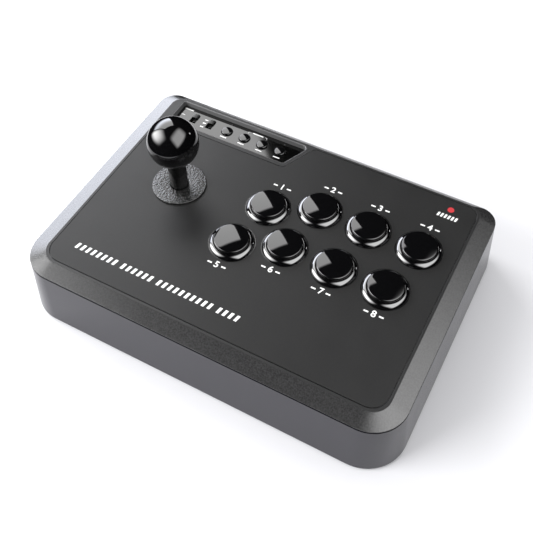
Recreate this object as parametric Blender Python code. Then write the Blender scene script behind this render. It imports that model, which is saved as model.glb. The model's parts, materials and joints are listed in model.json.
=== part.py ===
"""Arcade joystick panel: a flared tabletop housing with a ball-top stick and eight push buttons.

Every length is in metres, +Z is up, +X runs along the long side and -Y faces the player.
The origin is on the standing surface, under the middle of the housing.
"""
from math import cos, pi, radians, sin, sqrt, tan

import bmesh
import bpy
from mathutils import Matrix, Vector

MM = 0.001
GAP = 0.3 * MM            # clearance between pieces that touch
EMBED = 0.4 * MM          # how far a joined shape sinks into the one that carries it

# Housing: the walls flare out from the parting line down to the standing edge.
SEAM_WIDTH = 270.0 * MM
SEAM_DEPTH = 189.4 * MM
FLARE = 4.7 * MM
FRONT_RADIUS = 23.6 * MM
REAR_RADIUS = 13.0 * MM
WALL_BOTTOM = 1.5 * MM
SEAM_HEIGHT = 46.4 * MM
PANEL_TOP = 50.1 * MM
WALL = 2.6 * MM
BEZEL_WIDTH = 11.2 * MM
BEZEL_BACK = 4.4 * MM
BEZEL_EDGE = 0.5 * MM     # height of the upright rim under the slope
DECK_BOTTOM = 45.8 * MM
LIP_DEPTH = 4.0 * MM
LIP_WALL = 1.5 * MM
FLANGE_WIDTH = 2.2 * MM
FLANGE_HEIGHT = 2.0 * MM
CORNER_STEPS = 6

# Cord gland in the middle of the rear wall.
GLAND_HEIGHT = 33.0 * MM
GLAND_BORE = 1.9 * MM
GLAND_BODY = 3.8 * MM
GLAND_FLANGE = 6.0 * MM
GLAND_NUT = 5.2 * MM
GLAND_STEPS = 14

# Bottom plate, its rubber feet and the screws that close the housing.
PLATE_BOTTOM = 1.7 * MM
PLATE_TOP = 3.9 * MM
FOOT_RADIUS = 7.2 * MM
FOOT_HEIGHT = 2.2 * MM
FOOT_X, FOOT_FRONT, FOOT_REAR = 98.0 * MM, -76.0 * MM, 78.0 * MM
FRONT_SCREW = Vector((126.1, -85.8, 0.0)) * MM
REAR_SCREW = Vector((129.3, 89.0, 0.0)) * MM
SCREW_HEAD_RADIUS = 3.0 * MM
SCREW_HEAD_BOTTOM = 0.8 * MM
SCREW_HEAD_TOP = 2.3 * MM
SCREW_RADIUS = 1.4 * MM
SCREW_TIP = 14.0 * MM
BOSS_RADIUS = 4.9 * MM
BOSS_TOP = 16.0 * MM

# Inlaid panel: a thin sheet with its rear left corner cut away round the control recess.
PANEL_THICKNESS = 1.5 * MM
PANEL_HALF_WIDTH = 121.6 * MM
PANEL_FRONT = -81.3 * MM
PANEL_BACK = 88.4 * MM
PANEL_NOTCH_Y = 61.6 * MM
PANEL_RADIUS = 11.5 * MM
PANEL_REAR_RADIUS = 8.0 * MM
NOTCH_RADIUS = 4.5 * MM
NOTCH_LOW_X, NOTCH_HIGH_X = -16.8 * MM, -4.6 * MM

# Control recess: a shallow tray with a slanted right end.
RECESS_LEFT = -116.0 * MM
RECESS_FRONT = 65.4 * MM
RECESS_BACK = 88.0 * MM
RECESS_LOW_X, RECESS_HIGH_X = -18.8 * MM, -8.7 * MM
RECESS_RADIUS = 3.2 * MM
RECESS_LEFT_RADIUS = 1.5 * MM
RECESS_FLOOR = 46.1 * MM
RECESS_UNDERSIDE = 44.1 * MM

# Small controls in the recess.
SMALL_BUTTON_X = [-72.6 * MM, -57.5 * MM, -42.5 * MM, -27.5 * MM]
SMALL_BUTTON_Y = 77.6 * MM
SMALL_BUTTON_RADIUS = 4.1 * MM
SMALL_BUTTON_RISE = 1.5 * MM
SMALL_BUTTON_TRAVEL = 0.8 * MM
SWITCH_X = [-101.7 * MM, -87.6 * MM]
SWITCH_Y = 78.2 * MM
SLOT_WIDTH, SLOT_LENGTH = 5.4 * MM, 9.2 * MM
KNOB_WIDTH, KNOB_LENGTH = 4.6 * MM, 4.2 * MM
KNOB_TOP = 47.5 * MM
LED_X = [-72.9 * MM, -27.7 * MM]
LED_Y = 86.0 * MM
LED_RADIUS = 0.6 * MM
SMALL_FLANGE = 1.0 * MM
KNOB_FLANGE_X, KNOB_FLANGE_Y = 3.2 * MM, 3.4 * MM
KNOB_GROOVE = 0.5 * MM
KNOB_GROOVE_PITCH = 1.2 * MM
KNOB_GROOVE_DEPTH = 0.4 * MM

# Circuit boards.
BOARD_THICKNESS = 1.6 * MM
CONTROL_BOARD_LOW = Vector((-111.0, 67.5, 36.5)) * MM
CONTROL_BOARD_SIZE = Vector((92.0, 22.0, 1.6)) * MM
SLIDE_BODY_X, SLIDE_BODY_Y, SLIDE_BODY_HEIGHT = 4.0 * MM, 7.5 * MM, 2.2 * MM
TACT_RADIUS = 3.1 * MM
TACT_STEM_RADIUS = 1.7 * MM
TACT_STEM_HEIGHT = 0.7 * MM
MAIN_BOARD_LOW = Vector((-58.0, -74.0, 7.0)) * MM
MAIN_BOARD_SIZE = Vector((84.0, 38.0, 1.6)) * MM
STANDOFF_RADIUS = 2.4 * MM
STANDOFF_MARGIN = 4.0 * MM

# Play buttons: two rows of four on a 36 mm pitch, the left pair dropped for the fingers.
TOP_ROW = [(-8.1, 23.4), (24.6, 37.7), (60.7, 37.7), (97.1, 37.6)]
BOTTOM_ROW = [(-15.4, -14.4), (17.8, -1.5), (53.9, -1.5), (89.9, -1.5)]
BUTTON_RIM_RADIUS = 15.9 * MM
BUTTON_RIM_HEIGHT = 2.8 * MM
BARREL_RADIUS = 13.8 * MM
BARREL_BORE = 12.4 * MM
BARREL_BOTTOM = 30.0 * MM
BARREL_FLOOR = 1.5 * MM
PLUNGER_RADIUS = 12.1 * MM
PLUNGER_CROWN = 5.9 * MM
PLUNGER_SHOULDER = 4.9 * MM
PLUNGER_TRAVEL = 3.0 * MM
PLUNGER_SKIRT = 1.3 * MM
PLUNGER_SKIRT_BOTTOM = 42.0 * MM
PLUNGER_ROOF = 1.6 * MM
PLUNGER_STEM_RADIUS = 2.0 * MM
BARREL_FLOOR_BORE = 3.2 * MM
MICROSWITCH_X, MICROSWITCH_Y, MICROSWITCH_HEIGHT = 6.4 * MM, 3.0 * MM, 9.0 * MM
BLADE_X, BLADE_WIDTH, BLADE_THICKNESS, BLADE_LENGTH = 4.0 * MM, 2.8 * MM, 0.6 * MM, 5.0 * MM
ROUND_STEPS = 18
FINE_STEPS = 12

# Stick: a steel shaft on a gimbal, the ball above, the switch gate below.
STICK_X, STICK_Y = -74.0 * MM, 13.2 * MM
PIVOT_Z = 33.0 * MM
BALL_RADIUS = 17.5 * MM
BALL_Z = PANEL_TOP + 41.3 * MM
BALL_FLAT_RADIUS = 6.0 * MM
SHAFT_RADIUS = 3.0 * MM
SHAFT_BOTTOM = 5.0 * MM
SHAFT_TOP = 92.0 * MM
COVER_RADIUS = 6.4 * MM
COVER_BOTTOM = 41.8 * MM
DUST_RADIUS = 19.2 * MM
DUST_THICKNESS = 1.0 * MM
LOWER_DUST_RADIUS = 18.0 * MM
LOWER_DUST_Z = 44.6 * MM
LOWER_DUST_BORE = 9.2 * MM
HUB_RADIUS = 8.5 * MM
RING_BORE = 9.2 * MM
RING_RADIUS = 13.0 * MM
RING_HALF_HEIGHT = 3.5 * MM
PIN_RADIUS = 1.5 * MM
MOUNT_BOTTOM, MOUNT_TOP = 42.6 * MM, 44.2 * MM
MOUNT_SIZE = (90.0 * MM, 54.0 * MM)
MOUNT_HOLE_X, MOUNT_HOLE_Y = 40.0 * MM, 20.0 * MM
STAKE_RADIUS = 1.9 * MM   # moulded posts, melted over under the plate
STAKE_REACH = 1.2 * MM
CASE_SIZE = (62.0 * MM, 54.0 * MM)
CASE_BOTTOM = 17.0 * MM
CASE_WALL = 2.2 * MM
CASE_BORE = 6.7 * MM
ACTUATOR_RADIUS = 4.6 * MM
GATE_BOTTOM, GATE_TOP = 6.0 * MM, 8.5 * MM
GATE_HALF = 22.0 * MM
GATE_OPENING = 7.3 * MM

FINISHES = {
    "shell_black": ((0.060, 0.060, 0.064), 0.52, 0.0),
    "bezel_black": ((0.075, 0.075, 0.078), 0.42, 0.0),
    "panel_black": ((0.040, 0.040, 0.042), 0.48, 0.0),
    "gloss_black": ((0.004, 0.004, 0.005), 0.06, 0.0),
    "grained_black": ((0.030, 0.030, 0.031), 0.55, 0.0),
    "inner_black": ((0.020, 0.020, 0.020), 0.60, 0.0),
    "inner_white": ((0.700, 0.700, 0.680), 0.50, 0.0),
    "rubber": ((0.018, 0.018, 0.018), 0.85, 0.0),
    "steel": ((0.560, 0.570, 0.580), 0.28, 1.0),
    "zinc_steel": ((0.420, 0.430, 0.440), 0.42, 1.0),
    "board_green": ((0.020, 0.140, 0.050), 0.45, 0.0),
}


def clear_scene():
    for thing in list(bpy.data.objects):
        bpy.data.objects.remove(thing, do_unlink=True)


def finish_material(name, finish):
    colour, roughness, metallic = FINISHES[finish]
    made = bpy.data.materials.new(name)
    made.use_nodes = True
    shader = made.node_tree.nodes["Principled BSDF"]
    shader.inputs["Base Color"].default_value = (*colour, 1.0)
    shader.inputs["Roughness"].default_value = roughness
    shader.inputs["Metallic"].default_value = metallic
    return made


def make_object(name, shape, finish=None, location=(0.0, 0.0, 0.0), parent=None):
    """Turn a bmesh into a named object, shaded smooth over its rounded faces."""
    bmesh.ops.recalc_face_normals(shape, faces=shape.faces)
    mesh = bpy.data.meshes.new(name)
    shape.to_mesh(mesh)
    shape.free()
    mesh.shade_smooth()
    mesh.set_sharp_from_angle(angle=radians(35.0))
    made = bpy.data.objects.new(name, mesh)
    bpy.context.scene.collection.objects.link(made)
    made.location = location
    made.parent = parent
    if finish:
        mesh.materials.append(finish_material(name, finish))
    return made


def combine(target, operation, *others):
    """Join or cut with other closed shapes, which then stay behind as hidden guides."""
    for other in others:
        step = target.modifiers.new(other.name, "BOOLEAN")
        step.solver = "EXACT"
        step.operation = operation
        step.object = other
        other.hide_render = True
        other.display_type = "WIRE"


def cut(target, *cutters):
    combine(target, "DIFFERENCE", *cutters)


def join(target, *pieces):
    combine(target, "UNION", *pieces)


def box(name, low, high, finish=None, location=(0.0, 0.0, 0.0), parent=None):
    shape = bmesh.new()
    low, high = Vector(low), Vector(high)
    size = high - low
    place = Matrix.Translation((low + high) / 2) @ Matrix.Diagonal((*size, 1.0))
    bmesh.ops.create_cube(shape, size=1.0, matrix=place)
    return make_object(name, shape, finish, location, parent)


def turned(name, profile, finish=None, location=(0.0, 0.0, 0.0), parent=None, steps=ROUND_STEPS):
    """Spin a profile of (radius, height) points round Z; off the axis it closes on itself."""
    shape = bmesh.new()
    points = [shape.verts.new((radius, 0.0, height)) for radius, height in profile]
    edges = [shape.edges.new(pair) for pair in zip(points, points[1:])]
    on_axis = profile[0][0] == 0.0 and profile[-1][0] == 0.0
    if not on_axis:
        edges.append(shape.edges.new((points[-1], points[0])))
    bmesh.ops.spin(shape, geom=points + edges, cent=(0, 0, 0), axis=(0, 0, 1),
                   angle=2 * pi, steps=steps, use_merge=True)
    bmesh.ops.remove_doubles(shape, verts=shape.verts, dist=1e-6)
    return make_object(name, shape, finish, location, parent)


def cylinder(name, radius, low, high, finish=None, location=(0.0, 0.0, 0.0), parent=None,
             steps=ROUND_STEPS):
    profile = [(0.0, low), (radius, low), (radius, high), (0.0, high)]
    return turned(name, profile, finish, location, parent, steps)


def tube(name, bore, radius, low, high, finish=None, location=(0.0, 0.0, 0.0), parent=None):
    profile = [(bore, low), (radius, low), (radius, high), (bore, high)]
    return turned(name, profile, finish, location, parent)


def cross_pin(name, radius, reach, axis, location, parent=None, start=0.0):
    """A short round bar along X or Y through the given place."""
    made = cylinder(name, radius, start, reach, location=location, parent=parent, steps=FINE_STEPS)
    turn = Matrix.Rotation(radians(90.0), 4, "Y" if axis == "X" else "X")
    made.data.transform(turn)
    return made


def arc(centre, start, end, radius, steps):
    """Points (x, z) along part of a circle, angles in degrees from +X."""
    angles = [radians(start + (end - start) * step / steps) for step in range(steps + 1)]
    return [(centre[0] + radius * cos(angle), centre[1] + radius * sin(angle)) for angle in angles]


def rounded_ring(corners, height):
    """One ring of points round a polygon whose (x, y, radius) corners run anticlockwise."""
    ring = []
    for index, (x, y, radius) in enumerate(corners):
        corner = Vector((x, y))
        inward = (corner - Vector(corners[index - 1][:2])).normalized()
        outward = (Vector(corners[(index + 1) % len(corners)][:2]) - corner).normalized()
        turn = inward.angle_signed(outward, 0.0) * -1.0
        side = 1.0 if turn > 0 else -1.0
        start = corner - inward * radius * tan(abs(turn) / 2)
        centre = start + Vector((-inward.y, inward.x)) * side * radius
        for step in range(CORNER_STEPS + 1):
            spoke = start - centre
            spoke.rotate(Matrix.Rotation(turn * step / CORNER_STEPS, 2))
            ring.append((centre.x + spoke.x, centre.y + spoke.y, height))
    return ring


def loft(name, rings, finish=None, closed=False):
    """Skin a stack of equal rings; the end rings are filled, or joined when closed."""
    shape = bmesh.new()
    loops = [[shape.verts.new(point) for point in ring] for ring in rings]
    pairs = list(zip(loops, loops[1:]))
    if closed:
        pairs.append((loops[-1], loops[0]))
    else:
        shape.faces.new(loops[0])
        shape.faces.new(loops[-1])
    for lower, upper in pairs:
        for index in range(len(lower)):
            after = (index + 1) % len(lower)
            shape.faces.new((lower[index], lower[after], upper[after], upper[index]))
    return make_object(name, shape, finish)


def housing_ring(inset, height, back_inset=None):
    """The housing's rounded outline at one height, moved in from the parting line."""
    back_inset = inset if back_inset is None else back_inset
    half_width = SEAM_WIDTH / 2 - inset
    front = -SEAM_DEPTH / 2 + inset
    back = SEAM_DEPTH / 2 - back_inset
    front_radius = max(FRONT_RADIUS - inset, 3.0 * MM)
    rear_radius = max(REAR_RADIUS - back_inset, 3.0 * MM)
    corners = [(-half_width, front, front_radius), (half_width, front, front_radius),
               (half_width, back, rear_radius), (-half_width, back, rear_radius)]
    return rounded_ring(corners, height)


def flare_at(height):
    """How far the wall's outer face stands out from the parting line at a height."""
    wall_top = SEAM_HEIGHT - GAP / 2
    return FLARE * (wall_top - height) / (wall_top - WALL_BOTTOM)


def slanted_shift(low_x, high_x, length, grow):
    """X shift of a slanted edge's far and near ends when it moves outward by grow."""
    slope = (high_x - low_x) / length
    stretch = sqrt(1.0 + slope ** 2)
    return grow * (stretch - slope), grow * (stretch + slope)


def panel_corners(grow):
    """Outline of the inlaid panel, made larger by grow for the pocket that holds it."""
    right, front, back = PANEL_HALF_WIDTH + grow, PANEL_FRONT - grow, PANEL_BACK + grow
    notch_y = PANEL_NOTCH_Y + grow
    shift, _ = slanted_shift(NOTCH_LOW_X, NOTCH_HIGH_X, PANEL_BACK - PANEL_NOTCH_Y, grow)
    return [(-right, front, PANEL_RADIUS), (right, front, PANEL_RADIUS),
            (right, back, PANEL_REAR_RADIUS), (NOTCH_HIGH_X - shift, back, NOTCH_RADIUS),
            (NOTCH_LOW_X - shift, notch_y, NOTCH_RADIUS), (-right, notch_y, NOTCH_RADIUS)]


def recess_corners(grow):
    """Outline of the control recess, made larger by grow for the tray under it."""
    low_shift, high_shift = slanted_shift(RECESS_LOW_X, RECESS_HIGH_X,
                                          RECESS_BACK - RECESS_FRONT, grow)
    return [(RECESS_LEFT - grow, RECESS_FRONT - grow, RECESS_LEFT_RADIUS),
            (RECESS_LOW_X + low_shift, RECESS_FRONT - grow, RECESS_RADIUS),
            (RECESS_HIGH_X + high_shift, RECESS_BACK + grow, RECESS_RADIUS),
            (RECESS_LEFT - grow, RECESS_BACK + grow, RECESS_LEFT_RADIUS)]


def prism(name, corners, low, high, finish=None):
    return loft(name, [rounded_ring(corners, low), rounded_ring(corners, high)], finish)


def button_centres():
    return [(x * MM, y * MM) for x, y in TOP_ROW + BOTTOM_ROW]


def foot_places():
    return [(-FOOT_X, FOOT_FRONT), (FOOT_X, FOOT_FRONT), (FOOT_X, FOOT_REAR), (-FOOT_X, FOOT_REAR)]


def screw_places():
    """Screw centres, front left first and then anticlockwise."""
    mirror = Vector((-1.0, 1.0, 1.0))
    return [FRONT_SCREW * mirror, FRONT_SCREW, REAR_SCREW, REAR_SCREW * mirror]


# ---------------------------------------------------------------- housing

def make_side_frame():
    """Wall ring with a rebate for the bottom plate, a flange above it and corner screw bosses."""
    wall_top = SEAM_HEIGHT - GAP / 2
    flange_low = PLATE_TOP + GAP
    flange_high = flange_low + FLANGE_HEIGHT
    inner_low = WALL - flare_at(flange_high)
    rebate = WALL - flare_at(WALL_BOTTOM)
    rings = [
        housing_ring(-FLARE, WALL_BOTTOM),
        housing_ring(0.0, wall_top),
        housing_ring(WALL, wall_top),
        housing_ring(inner_low, flange_high),
        housing_ring(inner_low + FLANGE_WIDTH, flange_high),
        housing_ring(inner_low + FLANGE_WIDTH, flange_low),
        housing_ring(rebate, flange_low),
        housing_ring(rebate, WALL_BOTTOM),
    ]
    frame = loft("side_frame", rings, "shell_black", closed=True)
    for index, place in enumerate(screw_places()):
        join(frame, cylinder(f"boss_{index}", BOSS_RADIUS, flange_low + GAP, BOSS_TOP,
                             location=place, steps=FINE_STEPS))
        cut(frame, cylinder(f"screw_pilot_{index}", SCREW_RADIUS + GAP, 0.0, SCREW_TIP + GAP,
                            location=place, steps=FINE_STEPS))
    cut(frame, gland_cutter())
    return frame


def gland_place():
    """Middle of the rear wall, turned so that local Z looks out square to the flared face."""
    rear_face = SEAM_DEPTH / 2 + flare_at(GLAND_HEIGHT)
    lean = FLARE / (SEAM_HEIGHT - WALL_BOTTOM)
    tilt = Matrix.Rotation(-radians(90.0) + lean, 4, "X")
    return Matrix.Translation((0.0, rear_face, GLAND_HEIGHT)) @ tilt


def gland_cutter():
    hole = cylinder("gland_hole", GLAND_BODY + GAP, -3 * WALL, 2 * WALL)
    hole.matrix_world = gland_place()
    return hole


def make_cable_gland():
    """Flanged bush that lines the cord's hole in the rear wall."""
    inside, outside = -WALL - GAP, GAP
    nut_end = inside - 1.6 * MM
    collar, nose = outside + 1.0 * MM, outside + 2.4 * MM
    profile = [
        (GLAND_BORE, nut_end), (GLAND_NUT, nut_end), (GLAND_NUT, inside), (GLAND_BODY, inside),
        (GLAND_BODY, outside), (GLAND_FLANGE, outside), (GLAND_FLANGE, collar),
        (GLAND_BODY + 0.6 * MM, nose), (GLAND_BORE, nose),
    ]
    gland = turned("cable_gland", profile, "rubber", steps=GLAND_STEPS)
    gland.matrix_world = gland_place()
    return gland


def make_bottom_plate():
    """Flat closing plate with foot pockets, sunk screw holes and board standoffs."""
    edge = WALL - flare_at(WALL_BOTTOM) + GAP
    plate = loft("bottom_plate", [housing_ring(edge, PLATE_BOTTOM), housing_ring(edge, PLATE_TOP)],
                 "shell_black")
    pocket_top = FOOT_HEIGHT + GAP
    for index, (x, y) in enumerate(foot_places()):
        cut(plate, cylinder(f"foot_pocket_{index}", FOOT_RADIUS + GAP, 0.0, pocket_top,
                            location=(x, y, 0.0)))
    head_pocket_top = SCREW_HEAD_TOP + GAP
    profile = [(0.0, 0.0), (SCREW_HEAD_RADIUS + GAP, 0.0),
               (SCREW_HEAD_RADIUS + GAP, head_pocket_top), (SCREW_RADIUS + GAP, head_pocket_top),
               (SCREW_RADIUS + GAP, PLATE_TOP + 2 * MM), (0.0, PLATE_TOP + 2 * MM)]
    for index, place in enumerate(screw_places()):
        cut(plate, turned(f"screw_pocket_{index}", profile, location=place, steps=FINE_STEPS))
    for index, (x, y) in enumerate(board_standoffs()):
        join(plate, cylinder(f"standoff_{index}", STANDOFF_RADIUS, PLATE_TOP - EMBED,
                             MAIN_BOARD_LOW.z - GAP, location=(x, y, 0.0), steps=FINE_STEPS))
    return plate


def bezel_ring():
    """Inner edge of the sloping bezel, where it meets the flat top."""
    return housing_ring(BEZEL_WIDTH, PANEL_TOP, BEZEL_BACK)


def make_top_cover():
    """Upper shell that plugs into the walls: sloping bezel, panel pocket and control recess."""
    under_rim = SEAM_HEIGHT + GAP / 2
    lip_outer = WALL + GAP
    lip_inner = lip_outer + LIP_WALL
    lip_bottom = DECK_BOTTOM - LIP_DEPTH
    rings = [
        housing_ring(lip_inner, DECK_BOTTOM),
        housing_ring(lip_inner, lip_bottom),
        housing_ring(lip_outer, lip_bottom),
        housing_ring(lip_outer, under_rim),
        housing_ring(0.0, under_rim),
        housing_ring(0.0, under_rim + BEZEL_EDGE),
        bezel_ring(),
    ]
    cover = loft("top_cover", rings, "bezel_black")
    join(cover, prism("recess_underside", recess_corners(1.6 * MM), RECESS_UNDERSIDE,
                      DECK_BOTTOM + EMBED))
    for index, (x, y) in enumerate(mount_hole_places()):
        join(cover, cylinder(f"stake_{index}", STAKE_RADIUS, MOUNT_BOTTOM - STAKE_REACH,
                             DECK_BOTTOM + EMBED, location=(x, y, 0.0), steps=FINE_STEPS))
    pocket_floor = PANEL_TOP - PANEL_THICKNESS - GAP
    above = PANEL_TOP + 5 * MM
    cut(cover, prism("panel_pocket", panel_corners(GAP), pocket_floor, above),
        prism("recess_space", recess_corners(0.0), RECESS_FLOOR, above))
    cut_play_holes(cover, "cover", stick_bore=14.0 * MM)
    cut_control_holes(cover)
    return cover


def cut_play_holes(sheet, tag, stick_bore):
    below, above = DECK_BOTTOM - 2 * MM, PANEL_TOP + 2 * MM
    for index, (x, y) in enumerate(button_centres()):
        cut(sheet, cylinder(f"{tag}_button_hole_{index}", BARREL_RADIUS + GAP, below, above,
                            location=(x, y, 0.0)))
    cut(sheet, cylinder(f"{tag}_stick_hole", stick_bore, below, above,
                        location=(STICK_X, STICK_Y, 0.0)))


def cut_control_holes(cover):
    below, above = RECESS_UNDERSIDE - 2 * MM, RECESS_FLOOR + 2 * MM
    for index, x in enumerate(SMALL_BUTTON_X):
        cut(cover, cylinder(f"small_hole_{index}", SMALL_BUTTON_RADIUS + GAP, below, above,
                            location=(x, SMALL_BUTTON_Y, 0.0), steps=14))
    for index, x in enumerate(SWITCH_X):
        cut(cover, box(f"switch_slot_{index}", (-SLOT_WIDTH / 2, -SLOT_LENGTH / 2, below),
                       (SLOT_WIDTH / 2, SLOT_LENGTH / 2, above), location=(x, SWITCH_Y, 0.0)))
    for index, x in enumerate(LED_X):
        cut(cover, cylinder(f"led_hole_{index}", LED_RADIUS + GAP, below, above,
                            location=(x, LED_Y, 0.0), steps=FINE_STEPS))


def make_panel_plate():
    panel = prism("panel_plate", panel_corners(0.0), PANEL_TOP - PANEL_THICKNESS, PANEL_TOP,
                  "panel_black")
    cut_play_holes(panel, "panel", stick_bore=12.0 * MM)
    return panel


def make_feet_and_screws():
    rounding = 0.8 * MM
    foot = [(0.0, 0.0), (FOOT_RADIUS - rounding, 0.0), (FOOT_RADIUS, rounding),
            (FOOT_RADIUS, FOOT_HEIGHT), (0.0, FOOT_HEIGHT)]
    for index, (x, y) in enumerate(foot_places()):
        turned(f"rubber_foot_{index + 1}", foot, "rubber", (x, y, 0.0))
    screw = [(0.0, SCREW_HEAD_BOTTOM), (2.2 * MM, SCREW_HEAD_BOTTOM),
             (SCREW_HEAD_RADIUS, SCREW_HEAD_BOTTOM + 0.7 * MM),
             (SCREW_HEAD_RADIUS, SCREW_HEAD_TOP), (SCREW_RADIUS, SCREW_HEAD_TOP),
             (SCREW_RADIUS, SCREW_TIP - 1.5 * MM), (0.0, SCREW_TIP)]
    slot_top = SCREW_HEAD_BOTTOM + 0.8 * MM
    long, short = 1.6 * MM, 0.3 * MM
    for index, place in enumerate(screw_places()):
        made = turned(f"housing_screw_{index + 1}", screw, "zinc_steel", place, steps=FINE_STEPS)
        cut(made, box(f"screw_slot_{index}_a", (-long, -short, 0.0), (long, short, slot_top),
                      location=place),
            box(f"screw_slot_{index}_b", (-short, -long, 0.0), (short, long, slot_top),
                location=place))


# ---------------------------------------------------------------- electronics

def board_standoffs():
    low = MAIN_BOARD_LOW
    high = low + MAIN_BOARD_SIZE
    columns = (low.x + STANDOFF_MARGIN, high.x - STANDOFF_MARGIN)
    rows = (low.y + STANDOFF_MARGIN, high.y - STANDOFF_MARGIN)
    return [(x, y) for x in columns for y in rows]


def make_main_board():
    """Controller board with its processor, crystal and three cable headers soldered on.

    Each component has its low corner and its size, in millimetres on the board.
    """
    low = MAIN_BOARD_LOW
    board = box("main_board", low, low + MAIN_BOARD_SIZE, "board_green")
    base = MAIN_BOARD_SIZE.z - EMBED
    parts = {
        "processor": ((36, 12, 0), (12, 12, 2.0)),
        "crystal": ((56, 14, 0), (11, 4.4, 3.8)),
        "button_header": ((12, 29, 0), (38, 5.6, 6.2)),
        "stick_header": ((6, 8, 0), (5.6, 16, 6.2)),
        "cord_header": ((72, 9, 0), (5.6, 13, 6.2)),
    }
    for name, (corner, size) in parts.items():
        corner = low + Vector(corner) * MM + Vector((0.0, 0.0, base))
        join(board, box(name, corner, corner + Vector(size) * MM))
    return board


def make_control_board():
    """Board under the recess: two slide switch bodies, four tact switches and two lamps."""
    low = CONTROL_BOARD_LOW
    high = low + CONTROL_BOARD_SIZE
    board = box("control_board", low, high, "board_green")
    base = high.z - EMBED
    for index, x in enumerate(SWITCH_X):
        join(board, box(f"slide_body_{index}", (-SLIDE_BODY_X, -SLIDE_BODY_Y, base),
                        (SLIDE_BODY_X, SLIDE_BODY_Y, base + SLIDE_BODY_HEIGHT),
                        location=(x, SWITCH_Y, 0.0)))
    stem_top = small_button_bottom() - SMALL_BUTTON_TRAVEL - GAP
    shoulder = stem_top - TACT_STEM_HEIGHT
    profile = [(0.0, base), (TACT_RADIUS, base), (TACT_RADIUS, shoulder),
               (TACT_STEM_RADIUS, shoulder), (TACT_STEM_RADIUS, stem_top), (0.0, stem_top)]
    for index, x in enumerate(SMALL_BUTTON_X):
        join(board, turned(f"tact_{index}", profile, location=(x, SMALL_BUTTON_Y, 0.0),
                           steps=FINE_STEPS))
    for index, x in enumerate(LED_X):
        join(board, cylinder(f"led_{index}", LED_RADIUS, base, RECESS_FLOOR - GAP,
                             location=(x, LED_Y, 0.0), steps=FINE_STEPS))
    return board


def small_button_bottom():
    return RECESS_UNDERSIDE - GAP - SMALL_FLANGE


def make_small_buttons():
    low, flange_top = small_button_bottom(), RECESS_UNDERSIDE - GAP
    top = RECESS_FLOOR + SMALL_BUTTON_RISE
    radius = SMALL_BUTTON_RADIUS
    profile = [(0.0, low), (radius + SMALL_FLANGE, low), (radius + SMALL_FLANGE, flange_top),
               (radius, flange_top), (radius, top - 0.6 * MM), (radius - 0.7 * MM, top),
               (0.0, top + 0.2 * MM)]
    for name, x in zip(("menu", "left", "right", "home"), SMALL_BUTTON_X):
        turned(f"{name}_button", profile, "gloss_black", (x, SMALL_BUTTON_Y, 0.0), steps=14)


def make_slide_knobs():
    """Knobs at the rear of their slots, each with a flange below and three grip grooves."""
    rest_y = SWITCH_Y + (SLOT_LENGTH - KNOB_LENGTH) / 2 - GAP
    low = CONTROL_BOARD_LOW.z + BOARD_THICKNESS + SLIDE_BODY_HEIGHT
    flange_top = RECESS_UNDERSIDE - GAP
    for index, x in enumerate(SWITCH_X):
        place = (x, rest_y, 0.0)
        knob = box(f"slide_knob_{index + 1}", (-KNOB_WIDTH / 2, -KNOB_LENGTH / 2, low),
                   (KNOB_WIDTH / 2, KNOB_LENGTH / 2, KNOB_TOP), "gloss_black", place)
        join(knob, box(f"knob_flange_{index}", (-KNOB_FLANGE_X, -KNOB_FLANGE_Y, low),
                       (KNOB_FLANGE_X, KNOB_FLANGE_Y, flange_top), location=place))
        for groove in (-1, 0, 1):
            near = groove * KNOB_GROOVE_PITCH - KNOB_GROOVE / 2
            cut(knob, box(f"knob_groove_{index}_{groove + 1}",
                          (-KNOB_WIDTH, near, KNOB_TOP - KNOB_GROOVE_DEPTH),
                          (KNOB_WIDTH, near + KNOB_GROOVE, KNOB_TOP + GAP), location=place))


# ---------------------------------------------------------------- play buttons

def make_play_button(number, x, y):
    """Snap-in button: a rim and barrel in one, a hollow plunger, and a switch underneath."""
    rim_low, rim_top = PANEL_TOP + GAP, PANEL_TOP + BUTTON_RIM_HEIGHT
    housing = [
        (BARREL_BORE, BARREL_BOTTOM + BARREL_FLOOR),
        (BARREL_FLOOR_BORE, BARREL_BOTTOM + BARREL_FLOOR),
        (BARREL_FLOOR_BORE, BARREL_BOTTOM), (BARREL_RADIUS, BARREL_BOTTOM),
        (BARREL_RADIUS, rim_low),
        (BUTTON_RIM_RADIUS, rim_low), (BUTTON_RIM_RADIUS, rim_low + 1.0 * MM),
        (BUTTON_RIM_RADIUS - 1.3 * MM, rim_top), (BARREL_BORE, rim_top),
    ]
    turned(f"button_housing_{number}", housing, "gloss_black", (x, y, 0.0))
    crown = PANEL_TOP + PLUNGER_CROWN
    shoulder = PANEL_TOP + PLUNGER_SHOULDER
    stem_bottom = BARREL_BOTTOM + PLUNGER_TRAVEL
    ceiling = shoulder - PLUNGER_ROOF
    skirt_bore = PLUNGER_RADIUS - PLUNGER_SKIRT
    plunger = [
        (0.0, stem_bottom), (PLUNGER_STEM_RADIUS, stem_bottom), (PLUNGER_STEM_RADIUS, ceiling),
        (skirt_bore, ceiling), (skirt_bore, PLUNGER_SKIRT_BOTTOM),
        (PLUNGER_RADIUS, PLUNGER_SKIRT_BOTTOM), (PLUNGER_RADIUS, shoulder - 0.4 * MM),
        (PLUNGER_RADIUS - 0.9 * MM, shoulder + 0.3 * MM), (0.0, crown),
    ]
    turned(f"button_plunger_{number}", plunger, "gloss_black", (x, y, 0.0))
    make_button_switch(number, x, y)


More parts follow.
